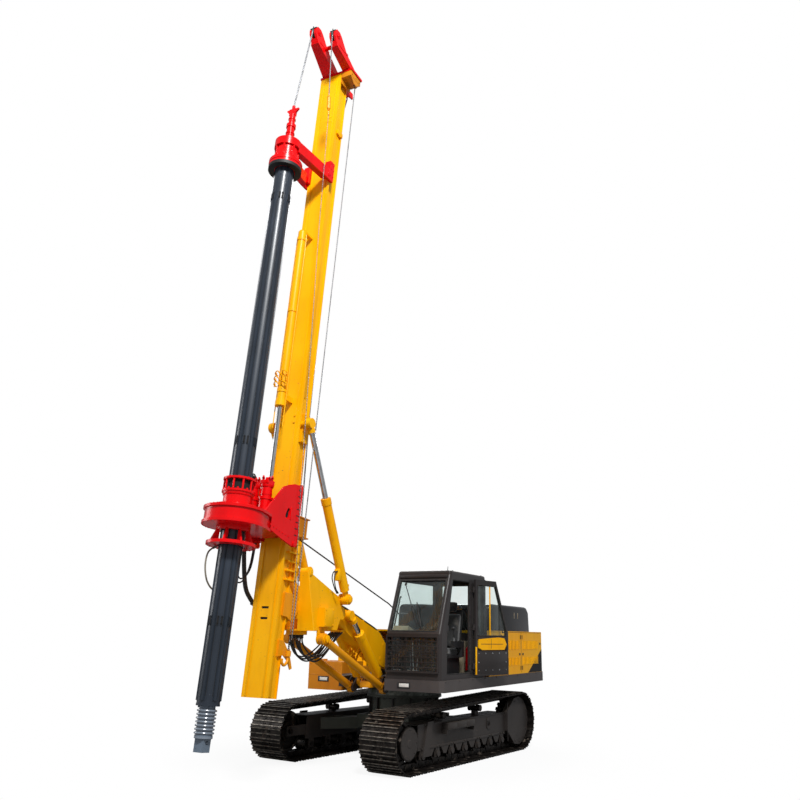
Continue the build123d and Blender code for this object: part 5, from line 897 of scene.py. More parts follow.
# Boom: a welded box in the body's yellow with round bosses at both ends, greased pins,
# and pressure hoses clipped along its back from the deck to the mast.
def tube_along(bm, points, radius, sides=10, steps=6):
    """A round tube whose centre line runs smoothly through the given points."""
    points = [Vector(point) for point in points]
    path = []
    for i in range(len(points) - 1):
        before, start, end = points[max(i - 1, 0)], points[i], points[i + 1]
        after = points[min(i + 2, len(points) - 1)]
        for k in range(steps):
            t = k / steps
            path.append(0.5 * (2 * start + (end - before) * t + (2 * before - 5 * start + 4 * end - after) * t ** 2
                               + (3 * start - before - 3 * end + after) * t ** 3))
    path.append(points[-1])
    across = (path[1] - path[0]).orthogonal().normalized()
    rings = []
    for i, centre in enumerate(path):
        along = (path[min(i + 1, len(path) - 1)] - path[max(i - 1, 0)]).normalized()
        across = (across - along * across.dot(along)).normalized()
        other = along.cross(across)
        rings.append([bm.verts.new(centre + (across * math.cos(turn) + other * math.sin(turn)) * radius)
                      for turn in turns(sides)])
    for first, second in zip(rings, rings[1:]):
        for i in range(sides):
            bm.faces.new((first[i], first[(i + 1) % sides], second[(i + 1) % sides], second[i]))
    bm.faces.new(rings[0][::-1])
    bm.faces.new(rings[-1])


def hose(bm, points, radius, sides=10):
    """A pressure hose with a swaged collar and a nut at each end."""
    tube_along(bm, points, radius, sides)
    for tip, inner in ((points[0], points[1]), (points[-1], points[-2])):
        tip, inner = Vector(tip), Vector(inner)
        along = (inner - tip).normalized()
        bar(bm, tip, tip + along * radius * 4, radius * 1.25, 10)
        bar(bm, tip - along * radius * 0.5, tip + along * radius, radius * 1.5, 6)


hose_rubber = rubber("ribbed_black_hose_rubber", "161515", 0.6)
paint(yellow, "boom")
BOOM_FOOT, ALONG, OVER = Vector((0, -0.72, 1.47)), Vector((0, -0.91845, 0.39555)), Vector((0, 0.39555, 0.91845))
bm = bmesh.new()
for x, reach in ((-0.06, 0.012), (-0.02, 0.014), (0.024, 0.012), (0.064, 0.013)):
    run = [BOOM_FOOT + ALONG * a + OVER * o + Vector((x, 0, 0))
           for a, o in ((-0.1, 0.15), (0.11, 0.232), (0.33, 0.285), (0.56, 0.325), (1.05, 0.283),
                        (1.56, 0.232), (1.76, 0.2))]
    hose(bm, run, reach)
finished(bm, "boom_hoses", hose_rubber, "boom")
bm = bmesh.new()
for a, o in ((0.56, 0.306), (1.05, 0.264), (1.5, 0.226)):
    at = BOOM_FOOT + ALONG * a + OVER * o
    slab(bm, (-0.09, 0.09), (at.y - 0.02, at.y + 0.02), (at.z - 0.01, at.z + 0.014), 0.003)
for side in (-1, 1):
    for a, o in ((0.33, -0.05), (0.33, 0.18), (1.48, 0.12)):
        at = BOOM_FOOT + ALONG * a + OVER * o
        pin(bm, (side * 0.104, side * 0.109), at.y, at.z, 0.03, 20)
finished(bm, "boom_clips_and_bosses", yellow, "boom")


# Lower links: two drawn tubes with forged eyes, in a warmer yellow, with a greased cap
# over each pin and a grease nipple on each eye.
link_yellow = enamel("warm_yellow_link_enamel", "e8950a", "ee9f14", "a8660a", "a5824c", 0.16, 0.34, "6b4f2c")
paint(link_yellow, "lower_links")
LINK_FOOT, LINK_TIP = Vector((0, -1.26, 1.105)), Vector((0, -3.0005, 1.8546))
bm = bmesh.new()
for side in (-1, 1):
    for centre, toward in ((LINK_FOOT, LINK_TIP), (LINK_TIP, LINK_FOOT)):
        along = (toward - centre).normalized()
        at = centre + Vector((side * 0.296, 0, 0))
        bar(bm, at + along * 0.104, at + along * 0.128, 0.061, 24)
        bar(bm, at + Vector((0, 0.02, 0.078)), at + Vector((0, 0.02, 0.1)), 0.007, 8)
finished(bm, "link_collars", link_yellow, "lower_links")


# Cylinders: honed barrels in the machine's yellow with screwed glands, hard pipes clipped
# along them, and hard-chromed rods that mirror the sky. The forged rod eyes are painted.
chrome, place = textured("hard_chromed_cylinder_rod")
film = mottle(chrome, place, 70, 5, 0.4, 0.75)
skin = add(chrome, "ShaderNodeBsdfPrincipled", {
    "Base Color": blend_colours(chrome, film, "d9dadb", "b9b8b4"), "Metallic": 1.0,
    "Roughness": between(chrome, film, 0.1, 0.24)})
add(chrome, "ShaderNodeOutputMaterial", {"Surface": skin.outputs[0]})
paint(yellow, "luff_cylinder_barrels", "mast_cylinder_barrels")
paint(chrome, "luff_cylinder_rods", "mast_cylinder_rods")
for kind, x, foot, eye, radius, barrel in (
    ("luff", 0.19, Vector((0, -1.15, 1.2)), Vector((0, -2.13, 2.195)), 0.078, 1.03),
    ("mast", 0.325, Vector((0, -2.48, 2.42)), Vector((0, -3.6489, 4.8412)), 0.068, 1.56),
):
    along = (eye - foot).normalized()
    over = Vector((0, along.z, -along.y))
    glands, pipes, eyes, lines, valves = (bmesh.new() for _ in range(5))
    for side in (-1, 1):
        root = foot + Vector((side * x, 0, 0))
        bar(glands, root + along * (barrel - 0.092), root + along * (barrel + 0.001),
            radius + (0.0055 if kind == "luff" else 0.0075), 32)
        for turn in turns(8):
            ray = Vector((1, 0, 0)) * math.cos(turn) + over * math.sin(turn)
            bolt(glands, root + along * (barrel + 0.001) + ray * (radius - 0.01), along, 0.007)
        for shift in (-0.016, 0.016):
            lane = root + over * (radius + 0.014) + Vector((shift, 0, 0))
            tube_along(pipes, [lane + along * (2 * radius + 0.06) - over * 0.012,
                               lane + along * (2 * radius + 0.1), lane + along * (barrel * 0.5),
                               lane + along * (barrel - 0.16 - shift * 2),
                               lane + along * (barrel - 0.12 - shift * 2) - over * 0.012], 0.008, 8, 3)
        for share in (0.3, 0.55, 0.8):
            clip = root + over * radius + along * barrel * share
            bar(pipes, clip - over * 0.004, clip + over * 0.026, 0.014, 6)
        saddle = root + over * (radius + 0.012) + along * (2 * radius + 0.05)
        bar(pipes, saddle - Vector((0.03, 0, 0)), saddle + Vector((0.03, 0, 0)), 0.02, 8)
        tip = eye + Vector((side * x, 0, 0))
        bar(eyes, tip - along * 0.135, tip - along * 0.072, 0.058 if kind == "luff" else 0.055, 28)
        bolt(eyes, tip + over * 0.03 - along * 0.103, over, 0.012)
        half = 0.0282 if kind == "luff" else 0.0462
        bar(eyes, tip - Vector((half, 0, 0)), tip + Vector((half, 0, 0)), 0.0765, 40)
        if kind == "mast":
            port = root + over * -(radius + 0.02) + along * 0.42
            slab(valves, (port.x - 0.04, port.x + 0.04), (port.y - 0.045, port.y + 0.045),
                 (port.z - 0.085, port.z + 0.085), 0.01)
            for shift in (-0.022, 0.018):
                hose(lines, [port + Vector((shift, -0.035, 0.05)), port + Vector((shift, -0.09, 0.03)),
                             port + Vector((shift, -0.115, -0.06)), port + Vector((shift * 0.5, -0.06, -0.19)),
                             port + Vector((shift * 0.5, 0.01, -0.26))], 0.008)
    finished(glands, f"{kind}_glands", yellow, f"{kind}_barrels")
    finished(pipes, f"{kind}_hard_pipes", yellow, f"{kind}_barrels")
    finished(eyes, f"{kind}_rod_eye_collars", yellow, f"{kind}_rods")
    if kind == "mast":
        finished(lines, "mast_cylinder_hoses", hose_rubber, "mast_barrels")
        finished(valves, "mast_cylinder_valves", yellow, "mast_barrels")
    else:
        lines.free()
        valves.free()


# Triangle frame: two thick side plates joined by a floor and a tapered front flange, in
# the machine's yellow, with bolted pin caps, a boxed doubler and a hose bulkhead below.
paint(yellow, "triangle_frame")
bm = bmesh.new()
for side in (-1, 1):
    for (y, z), x, radius in (((-3.33, 2.76), 0.245, 0.052), ((-3.0005, 1.8546), 0.368, 0.05),
                              ((-2.48, 2.42), 0.391, 0.052)):
        bar(bm, (side * (x - 0.002), y, z), (side * (x + 0.01), y, z), radius, 28)
        slab(bm, (side * (x + 0.006), side * (x + 0.016)), (y - 0.016, y + 0.016), (z - 0.04, z + 0.04), 0.002)
    slab(bm, (side * 0.338, side * 0.344), (-3.052, -2.828), (2.028, 2.272), 0.004)
    for y in (-3.035, -2.845):
        for z in (2.045, 2.255):
            bolt(bm, (side * 0.344, y, z), (side, 0, 0), 0.009)
    for i in range(7):
        z = 2.02 + 0.115 * i
        bolt(bm, (side * 0.27, -3.4, z), (0, 1, 0), 0.011)
    rib = slab(bm, (side * 0.29, side * 0.306), (-3.402, -3.3), (1.97, 2.64))
    for corner in rib:
        if corner.co.y > -3.35 and corner.co.z > 2.3:
            corner.co.y = -3.395
slab(bm, (-0.12, 0.12), (-3.33, -3.15), (1.905, 1.962), 0.006)
finished(bm, "triangle_caps_and_ribs", yellow, "triangle")
bm = bmesh.new()
for i, x in enumerate((-0.105, -0.07, -0.035, 0.0, 0.035, 0.07, 0.105)):
    drop = 0.03 * (i % 3)
    hose(bm, [(x, -3.24, 1.905), (x, -3.225, 1.79 - drop), (x * 1.2, -3.06, 1.64 - drop),
              (x * 1.2, -2.82, 1.61 - drop), (x, -2.56, 1.73 - drop), (x, -2.33, 1.885),
              (x * 0.9, -2.215, 1.945)], 0.011 + 0.002 * (i % 2))
bundle = finished(bm, "hanging_hose_bundle", hose_rubber, None)
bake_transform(bundle)
bm = bmesh.new()
slab(bm, (-0.104, 0.104), (-2.23, -2.15), (1.93, 1.985), 0.006)
rise = math.radians(23.3)
back, up = Vector((0, -math.cos(rise), math.sin(rise))), Vector((0, math.sin(rise), math.cos(rise)))
for i in range(8):
    x, low = 0.07 * (-1) ** i + 0.006 * (i % 3), -0.225 - 0.022 * (i % 3)
    top = Vector((x, -0.72, 1.47)) + back * (0.7 + 0.045 * i) - up * 0.148
    end = top + up * (low + 0.148)
    bar(bm, top, end, 0.012, 10)
    bar(bm, end + (top - end) * 0.35, end + (top - end) * 0.6, 0.02, 6)
    bar(bm, end, end + Vector((0.018, -0.05, 0.016)), 0.011, 10)
finished(bm, "boom_bulkhead", yellow, "boom")


# Valve stack: a cast manifold with yellow pipe elbows and black plugs, standing on the
# deck between the boom's foot and the lower links.
bm, plugs = bmesh.new(), bmesh.new()
slab(bm, (-0.095, 0.095), (-1.33, -1.08), (1.112, 1.21), 0.01)
for x in (-0.085, -0.045, -0.005, 0.035):
    for y, high in ((-1.29, 1.252), (-1.2, 1.275), (-1.12, 1.29)):
        lift = high + 0.022 * math.sin(40 * x + 9 * y)
        post(bm, x, y, (1.205, lift), 0.013, 12)
        bar(bm, (x, y, lift - 0.012), (x + 0.034, y - 0.016, lift - 0.004), 0.011, 12)
        post(bm, x, y, (1.236, 1.256), 0.019, 6)
        bar(plugs, (x + 0.034, y - 0.016, lift - 0.004), (x + 0.048, y - 0.022, lift - 0.001), 0.014, 6)
finished(bm, "valve_stack", link_yellow, "upper")
finished(plugs, "valve_plugs", black_moulding, "upper")


# Mast: a welded box with machined rails at the front and a plate at the back, in glossy
# yellow. Wear strips run down its front beside the rails, and short ladder rungs stand
# on both sides near its foot.
LEAN = Matrix.Translation((0, -3.52, 2.24)) @ Matrix.Rotation(math.radians(-5.33), 4, "X")
FRONT, BACK = -0.462, -0.202
paint(yellow, "mast")
bm = bmesh.new()
for side in (-1, 1):
    slab(bm, (side * 0.126, side * 0.15), (FRONT - 0.009, FRONT + 0.001), (-1.15, 8.88), 0.002)
    for span in ((-1.15, 2.3), (3.0, 8.88)):
        slab(bm, (side * 0.149, side * 0.156), (FRONT + 0.06, FRONT + 0.15), span, 0.002)
    slab(bm, (side * 0.13, side * 0.169), (BACK - 0.001, BACK + 0.008), (1.4, 8.9), 0.002)
    for z in [1.9 + 0.9 * i for i in range(8)]:
        bolt(bm, (side * 0.15, BACK + 0.008, z), (0, 1, 0), 0.01)
    for z in (2.6, 2.7):
        bar(bm, (side * 0.11, FRONT - 0.012, z), (side * 0.11, FRONT + 0.001, z), 0.02, 12)
    for z in (0.35, 0.475, 0.6, 0.725, 0.85):
        slab(bm, (side * 0.148, side * 0.205), (-0.34, -0.105), (z, z + 0.022), 0.003)
    slab(bm, (side * 0.192, side * 0.205), (-0.17, -0.1), (0.345, 0.877), 0.003)
pin(bm, (0.149, 0.188), -0.27, 7.865, 0.055, 28)
slab(bm, (0.149, 0.19), (-0.35, -0.19), (7.82, 7.91), 0.012)
for z in (8.0, 8.085):
    slab(bm, (0.015, 0.115), (FRONT - 0.003, FRONT + 0.001), (z, z + 0.03), 0.001)
finished(bm, "mast_strips_and_ears", yellow, "mast", LEAN)
bm = bmesh.new()
for z in (-0.03, -0.17):
    slab(bm, (-0.0595, 0.0595), (FRONT + 0.012, FRONT + 0.02), (z - 0.0145, z + 0.0145))
for z in (7.99, 8.05):
    slab(bm, (0.1495, 0.1515), (-0.372, -0.33), (z, z + 0.03))
finished(bm, "mast_slot_shadows", shadow_black, "mast", LEAN)


# Mast head: a red weldment with two raked arms, round pin ends locked with spiked pins,
# and an orange-brown box with a gusset under its overhang. The sheaves are bare steel.
red = enamel("sprayed_signal_red_enamel", "dc0308", "e20a10", "8a0206", "8a4038", 0.06, 0.24, "5a1512", 0.22)
sheave_steel = rough_steel("rope_worn_sheave_steel", "2d3330", "59605b", "4b4a40", 0.02, 0.35)
paint(red, "mast_head")
paint(sheave_steel, "main_sheave", "aux_sheave")
bm, dark = bmesh.new(), bmesh.new()
for (x, y, z), half in (((0.0, -1.01, 9.44), 0.068), ((0.33, -0.9, 9.35), 0.06)):
    for side in (-1, 1):
        bar(bm, (x + side * (half - 0.001), y, z), (x + side * (half + 0.01), y, z), 0.046, 24)
        bolt(bm, (x + side * (half + 0.01), y, z), (side, 0, 0), 0.016)
        slab(bm, (x + side * (half - 0.001), x + side * (half + 0.006)), (y + 0.06, y + 0.32),
             (z - 0.16, z - 0.12), 0.003)
    for shift, rise in ((-0.09, 0.052), (-0.02, 0.072), (0.05, 0.058)):
        bar(dark, (x, y + shift, z + rise), (x, y + shift - 0.01, z + rise + 0.036), 0.012, 10, 0.007)
        pin(dark, (x - half * 0.9, x + half * 0.9), y + shift, z + rise, 0.011, 10)
for x in (-0.18, -0.09, 0.18, 0.32, 0.4):
    bolt(bm, (x, FRONT - 0.01, 9.02), (0, -1, 0), 0.01)
for x in (0.09, 0.16):
    bolt(bm, (x, -0.82, 9.285), (0, -1, 0), 0.008)
finished(bm, "head_caps", red, "mast", LEAN)
finished(dark, "head_spike_pins", sheave_steel, "mast", LEAN)
bm = bmesh.new()
slab(bm, (0.2195, 0.4125), (-0.4645, -0.1595), (8.892, 8.998), 0.003)
for x in (0.224, 0.402):
    gusset = slab(bm, (x, x + 0.008), (-0.45, -0.17), (8.8, 8.894))
    for corner in gusset:
        if corner.co.z < 8.85:
            corner.co.y = -0.3 + (corner.co.y + 0.3) * 0.25
slab(bm, (0.211, 0.222), (-0.455, -0.175), (8.8, 8.99), 0.002)
for y in (-0.42, -0.31, -0.2):
    bolt(bm, (0.4125, y, 8.945), (1, 0, 0), 0.011)
bar(bm, (0.3, -0.16, 8.94), (0.3, -0.12, 8.94), 0.022, 14)
finished(bm, "head_box", orange, "mast", LEAN)


# Ropes: the main hoist rope runs over the head to the kelly's swivel, and the thinner
# auxiliary rope comes down the front to a parked hook. On the mast they are pale, and
# the run from the mast to the winch is dark.
def straight_rope(bm, points, radius):
    """A tight rope between sheaves: straight runs with a ball of its own size at each bend."""
    for first, second in zip(points, points[1:]):
        bar(bm, first, second, radius, 8)
    for point in points[1:-1]:
        bmesh.ops.create_icosphere(bm, subdivisions=1, radius=radius * 1.04, matrix=Matrix.Translation(point))


def over_sheave(y, z, first, last, x):
    """Points on a rope's path over a sheave of 100 mm radius, between two angles up from the front."""
    angles = [math.radians(first + (last - first) * i / 8) for i in range(9)]
    return [(x, y - 0.1 * math.cos(angle), z + 0.1 * math.sin(angle)) for angle in angles]


bm = bmesh.new()
head_turn = over_sheave(-1.01, 9.44, -4, 150, 0)
straight_rope(bm, head_turn + [(0, 0.052, 9.046), (0, 0.062, 8.95), (0, -0.045, 8.4), (0, 0.03, 2.81),
                              (0, 0.12, 1.3), (0, 0.15, 1.01)], 0.011)
finished(bm, "mast_ropes", pale_wire, "mast", LEAN)
bm = bmesh.new()
straight_rope(bm, [(0.345, -0.896, 8.04)] + over_sheave(-0.9, 9.35, 2, 150, 0.33)
              + [(0.33, -0.19, 8.85), (0.33, -0.24, -0.42)], 0.008)
for points in ([(0.345, -0.854, 7.8), (0.347, -0.739, 5.63), (0.35, -0.452, 1.7)],
               [(0.35, -0.452, 1.7), (0.352, -0.36, 0.7), (0.3, -0.238, -0.45)]):
    straight_rope(bm, points, 0.0045)
finished(bm, "auxiliary_ropes", pale_wire, "mast", LEAN)


def crossing_rope(name, material, start, end, onward=()):
    """A run of the hoist rope across the joint between two bodies, with points all along it."""
    bm = bmesh.new()
    start, end = Vector(start), Vector(end)
    tube_along(bm, [start.lerp(end, i / 8) for i in range(9)] + [Vector(point) for point in onward], 0.011, 10, 2)
    rope = finished(bm, name, material, None)
    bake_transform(rope)


MAST_BEND, TRIANGLE_BEND, BOOM_BEND = (0, -3.283, 3.223), (0, -2.8, 3.0789), (0, -1.45, 2.676)
crossing_rope("hoist_rope_front", pale_wire,
              LEAN @ Vector(head_turn[0]), LEAN @ Vector((0, -1.309, 7.65)))
crossing_rope("winch_rope_front", rope_wire, MAST_BEND, TRIANGLE_BEND)
crossing_rope("winch_rope_middle", rope_wire, TRIANGLE_BEND, BOOM_BEND)
crossing_rope("winch_rope_rear", rope_wire, BOOM_BEND, (0, -0.619, 2.428),
              [(0, -0.3, 2.292), (0, 0.1, 2.121), (0, 0.56, 1.925)])
bm = bmesh.new()
post(bm, 0.345, -0.896, (8.1, 8.06), 0.012, 12, 0.03)
bar(bm, (0.345, -0.893, 8.06), (0.345, -0.866, 7.86), 0.03, 20)
bar(bm, (0.345, -0.866, 7.86), (0.345, -0.86, 7.82), 0.03, 20, 0.012)
bar(bm, (0.345, -0.858, 7.81), (0.345, -0.85, 7.74), 0.016, 12)
finished(bm, "limit_weight", link_yellow, "mast", LEAN)


# Crowd cylinder: a yellow barrel on the mast's front with bolted clamps and hard pipes,
# and a bright chromed rod down to the drive.
paint(yellow, "crowd_barrel")
paint(chrome, "crowd_rod")
CROWD_Y = -0.69
bm = bmesh.new()
for z in (2.84, 3.0, 4.3, 5.55):
    for turn in turns(24):
        place = Matrix.Translation((0.069 * math.cos(turn), CROWD_Y + 0.069 * math.sin(turn), z))
        bmesh.ops.create_cube(bm, size=1.0, matrix=place @ Matrix.Rotation(turn, 4, "Z")
                              @ Matrix.Diagonal((0.01, 0.019, 0.04, 1)))
    for x in (-0.078, 0.078):
        bolt(bm, (x, -0.672, z), (0, 1, 0), 0.009)
bolt_ring(bm, (0, CROWD_Y, 2.77), 0.066, turns(8, 0.5), (0, 0, -1), 0.008)
for x in (-0.086, 0.086):
    tube_along(bm, [(x * 0.75, CROWD_Y, 5.6), (x, CROWD_Y, 5.5), (x, CROWD_Y, 4.0), (x, CROWD_Y, 2.45)],
               0.008, 8, 4)
    for z, reach in ((3.06, 0.05), (3.14, 0.062), (3.23, 0.048)):
        tube_along(bm, [(x * 0.8, -0.74, z), (x * 1.2, -0.74 - reach * 0.6, z + 0.03),
                        (x * 0.6, -0.745 - reach, z + 0.06), (x * 0.2, -0.752, z + 0.02)], 0.008, 6, 4)
        post(bm, x * 1.15, -0.752, (z, z + 0.05), 0.012, 6)
finished(bm, "crowd_clamps_and_pipes", yellow, "mast", LEAN)


# Rotary drive: a cast gearbox in gloss red with a domed lid, a bolted spring cage round
# the kelly, two hydraulic motors, and a carriage plate bolted along its edges.
paint(red, "drive_gearbox", "drive_cage", "casing_adapter", "drive_carriage", "drive_motors")
KELLY_Y = -1.309


def turned(bm, profile, sides=48, centre=(0, KELLY_Y)):
    """A solid of revolution about an upright axis, from (radius, height) corners."""
    corners = [bm.verts.new((centre[0] + r, centre[1], z)) for r, z in profile]
    edges = [bm.edges.new((corners[i], corners[(i + 1) % len(corners)])) for i in range(len(corners))]
    bmesh.ops.spin(bm, geom=corners + edges, cent=(centre[0], centre[1], 0), axis=(0, 0, 1), angle=2 * math.pi,
                   steps=sides, use_merge=True)


def band(bm, radii, z, sides, centre=(0, KELLY_Y)):
    """A plain ring between two radii and two heights."""
    turned(bm, [(r, height) for height, span in zip(z, (radii, radii[::-1])) for r in span], sides, centre)


bm = bmesh.new()
turned(bm, ((0.183, 1.1003), (0.33, 1.1003), (0.326, 1.122), (0.285, 1.142), (0.215, 1.16), (0.183, 1.162)))
turned(bm, ((0.183, 1.27), (0.196, 1.275), (0.202, 1.29), (0.202, 1.3115), (0.183, 1.3115)))
front_half = [math.radians(180 + 180 * (i + 0.5) / 20) for i in range(20)]
bolt_ring(bm, (0, KELLY_Y, 1.1), 0.398, front_half, (0, 0, 1), 0.008)
bolt_ring(bm, (0, KELLY_Y, 0.875), 0.398, front_half, (0, 0, -1), 0.008)
bolt_ring(bm, (0, KELLY_Y, 1.505), 0.199, turns(10, 0.5), (0, 0, 1), 0.009)
bolt_ring(bm, (0, KELLY_Y, 1.3125), 0.199, turns(10, 0.5), (0, 0, -1), 0.012)
for turn in turns(10, 0.5):
    post(bm, 0.199 * math.cos(turn), KELLY_Y + 0.199 * math.sin(turn), (1.338, 1.36), 0.014, 6)
bolt_ring(bm, (0, KELLY_Y, 0.62), 0.298, turns(12, 0.5), (0, 0, -1), 0.01)
MOTOR_Y = -0.88
for x in (-0.112, 0.112):
    bolt_ring(bm, (x, MOTOR_Y, 1.36), 0.094, turns(6, 0.5), (0, 0, 1), 0.008)
    band(bm, (0.06, 0.08), (1.395, 1.425), 28, (x, MOTOR_Y))
    turned(bm, ((0.06, 1.5), (0.082, 1.5), (0.09, 1.52), (0.09, 1.538), (0.06, 1.538)), 28, (x, MOTOR_Y))
    for dx, dy, high in ((-0.045, -0.045, 1.65), (0.048, -0.03, 1.63), (0.03, 0.05, 1.66),
                         (-0.04, 0.04, 1.64)):
        port = (x + dx, MOTOR_Y + dy)
        post(bm, *port, (1.59, high), 0.016, 10)
        bar(bm, (*port, high - 0.012), (port[0] + 0.03, port[1] - 0.04, high - 0.006), 0.013, 10)
        post(bm, *port, (high - 0.03, high - 0.014), 0.022, 6)
    slab(bm, (x - 0.07, x + 0.07), (-0.962, -0.94), (1.545, 1.595), 0.004)
for side in (-1, 1):
    for i in range(9):
        y = -1.11 + 0.068 * i
        bolt(bm, (side * 0.325, y, 0.992 - 0.3 * (y + 1.11) / 1.0 * 0.62), (side, 0, 0), 0.009)
    slab(bm, (side * 0.324, side * 0.333), (-0.578, -0.56), (1.12, 1.29), 0.002)
    slab(bm, (side * 0.324, side * 0.33), (-0.372, -0.358), (0.82, 1.64), 0.002)
    pin(bm, (side * 0.333, side * 0.342), -0.42, 0.815, 0.03, 20)
finished(bm, "drive_bolts_and_lid", red, "rotary_drive", LEAN)
# Painted shade: dark strips in the rows of side slots, and a dark plate inside the carriage plate's window. The
# ring in the bore is a dark buffer.
bm = bmesh.new()
for side in (-1, 1):
    for i in range(8):
        z = 0.93 + 0.09 * i
        slab(bm, (side * 0.3245, side * 0.3265), (-0.445, -0.385), (z, z + 0.014), 0.0006)
    slab(bm, (side * 0.295, side * 0.299), (-0.7, -0.56), (1.105, 1.285))
band(bm, (0.157, 0.172), (1.345, 1.475), 40)
finished(bm, "drive_slot_shade_and_buffer", shadow_black, "rotary_drive", LEAN)
bm = bmesh.new()
hose(bm, [(-0.205, -0.8, 0.868), (-0.215, -0.79, 0.7), (-0.235, -0.7, 0.4), (-0.255, -0.6, 0.2),
          (-0.262, -0.48, 0.09), (-0.262, -0.38, 0.03), (-0.25, -0.3, 0.01)], 0.03, 14)
for x, sag in ((-0.15, 0.0), (-0.185, 0.05)):
    hose(bm, [(x, -0.98, 0.868), (x, -0.985, 0.64), (x, -0.97, 0.42 - sag), (x * 0.9, -0.9, 0.29 - sag),
              (x * 0.8, -0.8, 0.33 - sag), (x * 0.7, -0.73, 0.48), (x * 0.7, -0.7, 0.78)], 0.01)
for dx, reach in ((-0.03, 0.3), (0.005, 0.24), (0.04, 0.33)):
    x = -0.112 + dx
    hose(bm, [(x, -0.91, 1.64), (x - 0.02, -0.95, 1.69), (x - 0.08, -0.96, 1.65), (x - 0.1, -0.95, 1.54),
              (x - 0.11, -0.955, 1.54 - reach)], 0.01)
finished(bm, "drive_hoses", hose_rubber, "rotary_drive", LEAN)
beige_rubber = rubber("faded_beige_hose_rubber", "8b8272", 0.7)
bm = bmesh.new()
hose(bm, [(-0.185, -1.38, 0.615), (-0.205, -1.48, 0.52), (-0.2, -1.5, 0.34), (-0.2, -1.42, 0.16),
          (-0.21, -1.25, 0.08), (-0.2, -1.05, 0.16), (-0.19, -0.9, 0.42), (-0.185, -0.86, 0.868)], 0.011)
finished(bm, "grease_hose", beige_rubber, "rotary_drive", LEAN)


# Kelly guide and rope swivel: a waisted red collar on two arms, with a moulded black
# damping ring under its flange, and above it a slender swivel that takes the hoist rope.
paint(red, "kelly_guide", "rope_swivel")
damping_rubber = moulding("moulded_black_damping_ring", "0d0d0d", "151414", 0.6)
bm = bmesh.new()
band(bm, (0.16, 0.2525), (6.396, 6.45), 56)
finished(bm, "damping_ring", damping_rubber, "kelly_guide", LEAN)
bm = bmesh.new()
bolt_ring(bm, (0, KELLY_Y, 6.547), 0.24, turns(16), (0, 0, 1), 0.01)
bolt_ring(bm, (0, KELLY_Y, 6.93), 0.19, turns(16), (0, 0, 1), 0.009)
for side in (-1, 1):
    for z in (6.84, 6.96, 7.06):
        for reach in (0.03, -0.04):
            bolt(bm, (side * 0.262, FRONT + reach, z), (side, 0, 0), 0.01)
    slab(bm, (side * 0.258, side * 0.268), (FRONT - 0.1, FRONT - 0.066), (6.79, 6.93), 0.003)
turned(bm, ((0.059, 6.96), (0.082, 6.96), (0.088, 6.99), (0.082, 7.02), (0.059, 7.02)), 32)
band(bm, (0.059, 0.07), (7.11, 7.13), 32)
turned(bm, ((0.046, 7.38), (0.058, 7.385), (0.058, 7.405), (0.046, 7.41)), 28)
for side in (-1, 1):
    wing = slab(bm, (side * 0.04, side * 0.11), (KELLY_Y - 0.014, KELLY_Y + 0.014), (7.5, 7.6), 0.0)
    for corner in wing:
        if abs(corner.co.x) > 0.09:
            corner.co.z = 7.585 + (corner.co.z - 7.55) * 0.2
pin(bm, (-0.066, 0.066), KELLY_Y, 7.545, 0.016, 14)
finished(bm, "guide_bolts_and_rings", red, "kelly_guide", LEAN)


# Kelly bar: a long drawn tube with six drive keys in smooth slate-blue enamel, with
# bolted lock plates; the inner bar is paler, its spring light grey.
kelly_blue = enamel("slate_blue_kelly_enamel", "222932", "2b333e", "12161c", "4d4b49", 0.05, 0.36, "3f464e", 0.4)
stub_blue = enamel("pale_slate_stub_enamel", "5d6a78", "6b7886", "39434e", "6d6a64", 0.05, 0.32, "474f58", 0.5)
spring_steel = enamel("light_grey_spring_enamel", "6f7883", "828b95", "434c57", "6b6358", 0.05, 0.25, "474f58", 0.7)
paint(kelly_blue, "kelly_tube")
paint(stub_blue, "kelly_bar")
bm = bmesh.new()
band(bm, (0.0745, 0.098), (-1.6087, -1.3223), 40)
for i in range(7):
    z = -1.5885 + 0.0412 * i
    ring = [(0.105 + 0.015 * math.cos(turn), z + 0.013 * math.sin(turn)) for turn in turns(8)]
    turned(bm, ring, 40)
spring = finished(bm, "kelly_spring_rings", spring_steel, "kelly_inner", LEAN)
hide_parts("kelly_spring")
# Painted shade: thin dark strips beside each drive key stand in for grooves, and dark pads inside the raised lock
# rims stand in for the pockets' depth.
bm, groove_and_pocket_shade = bmesh.new(), bmesh.new()
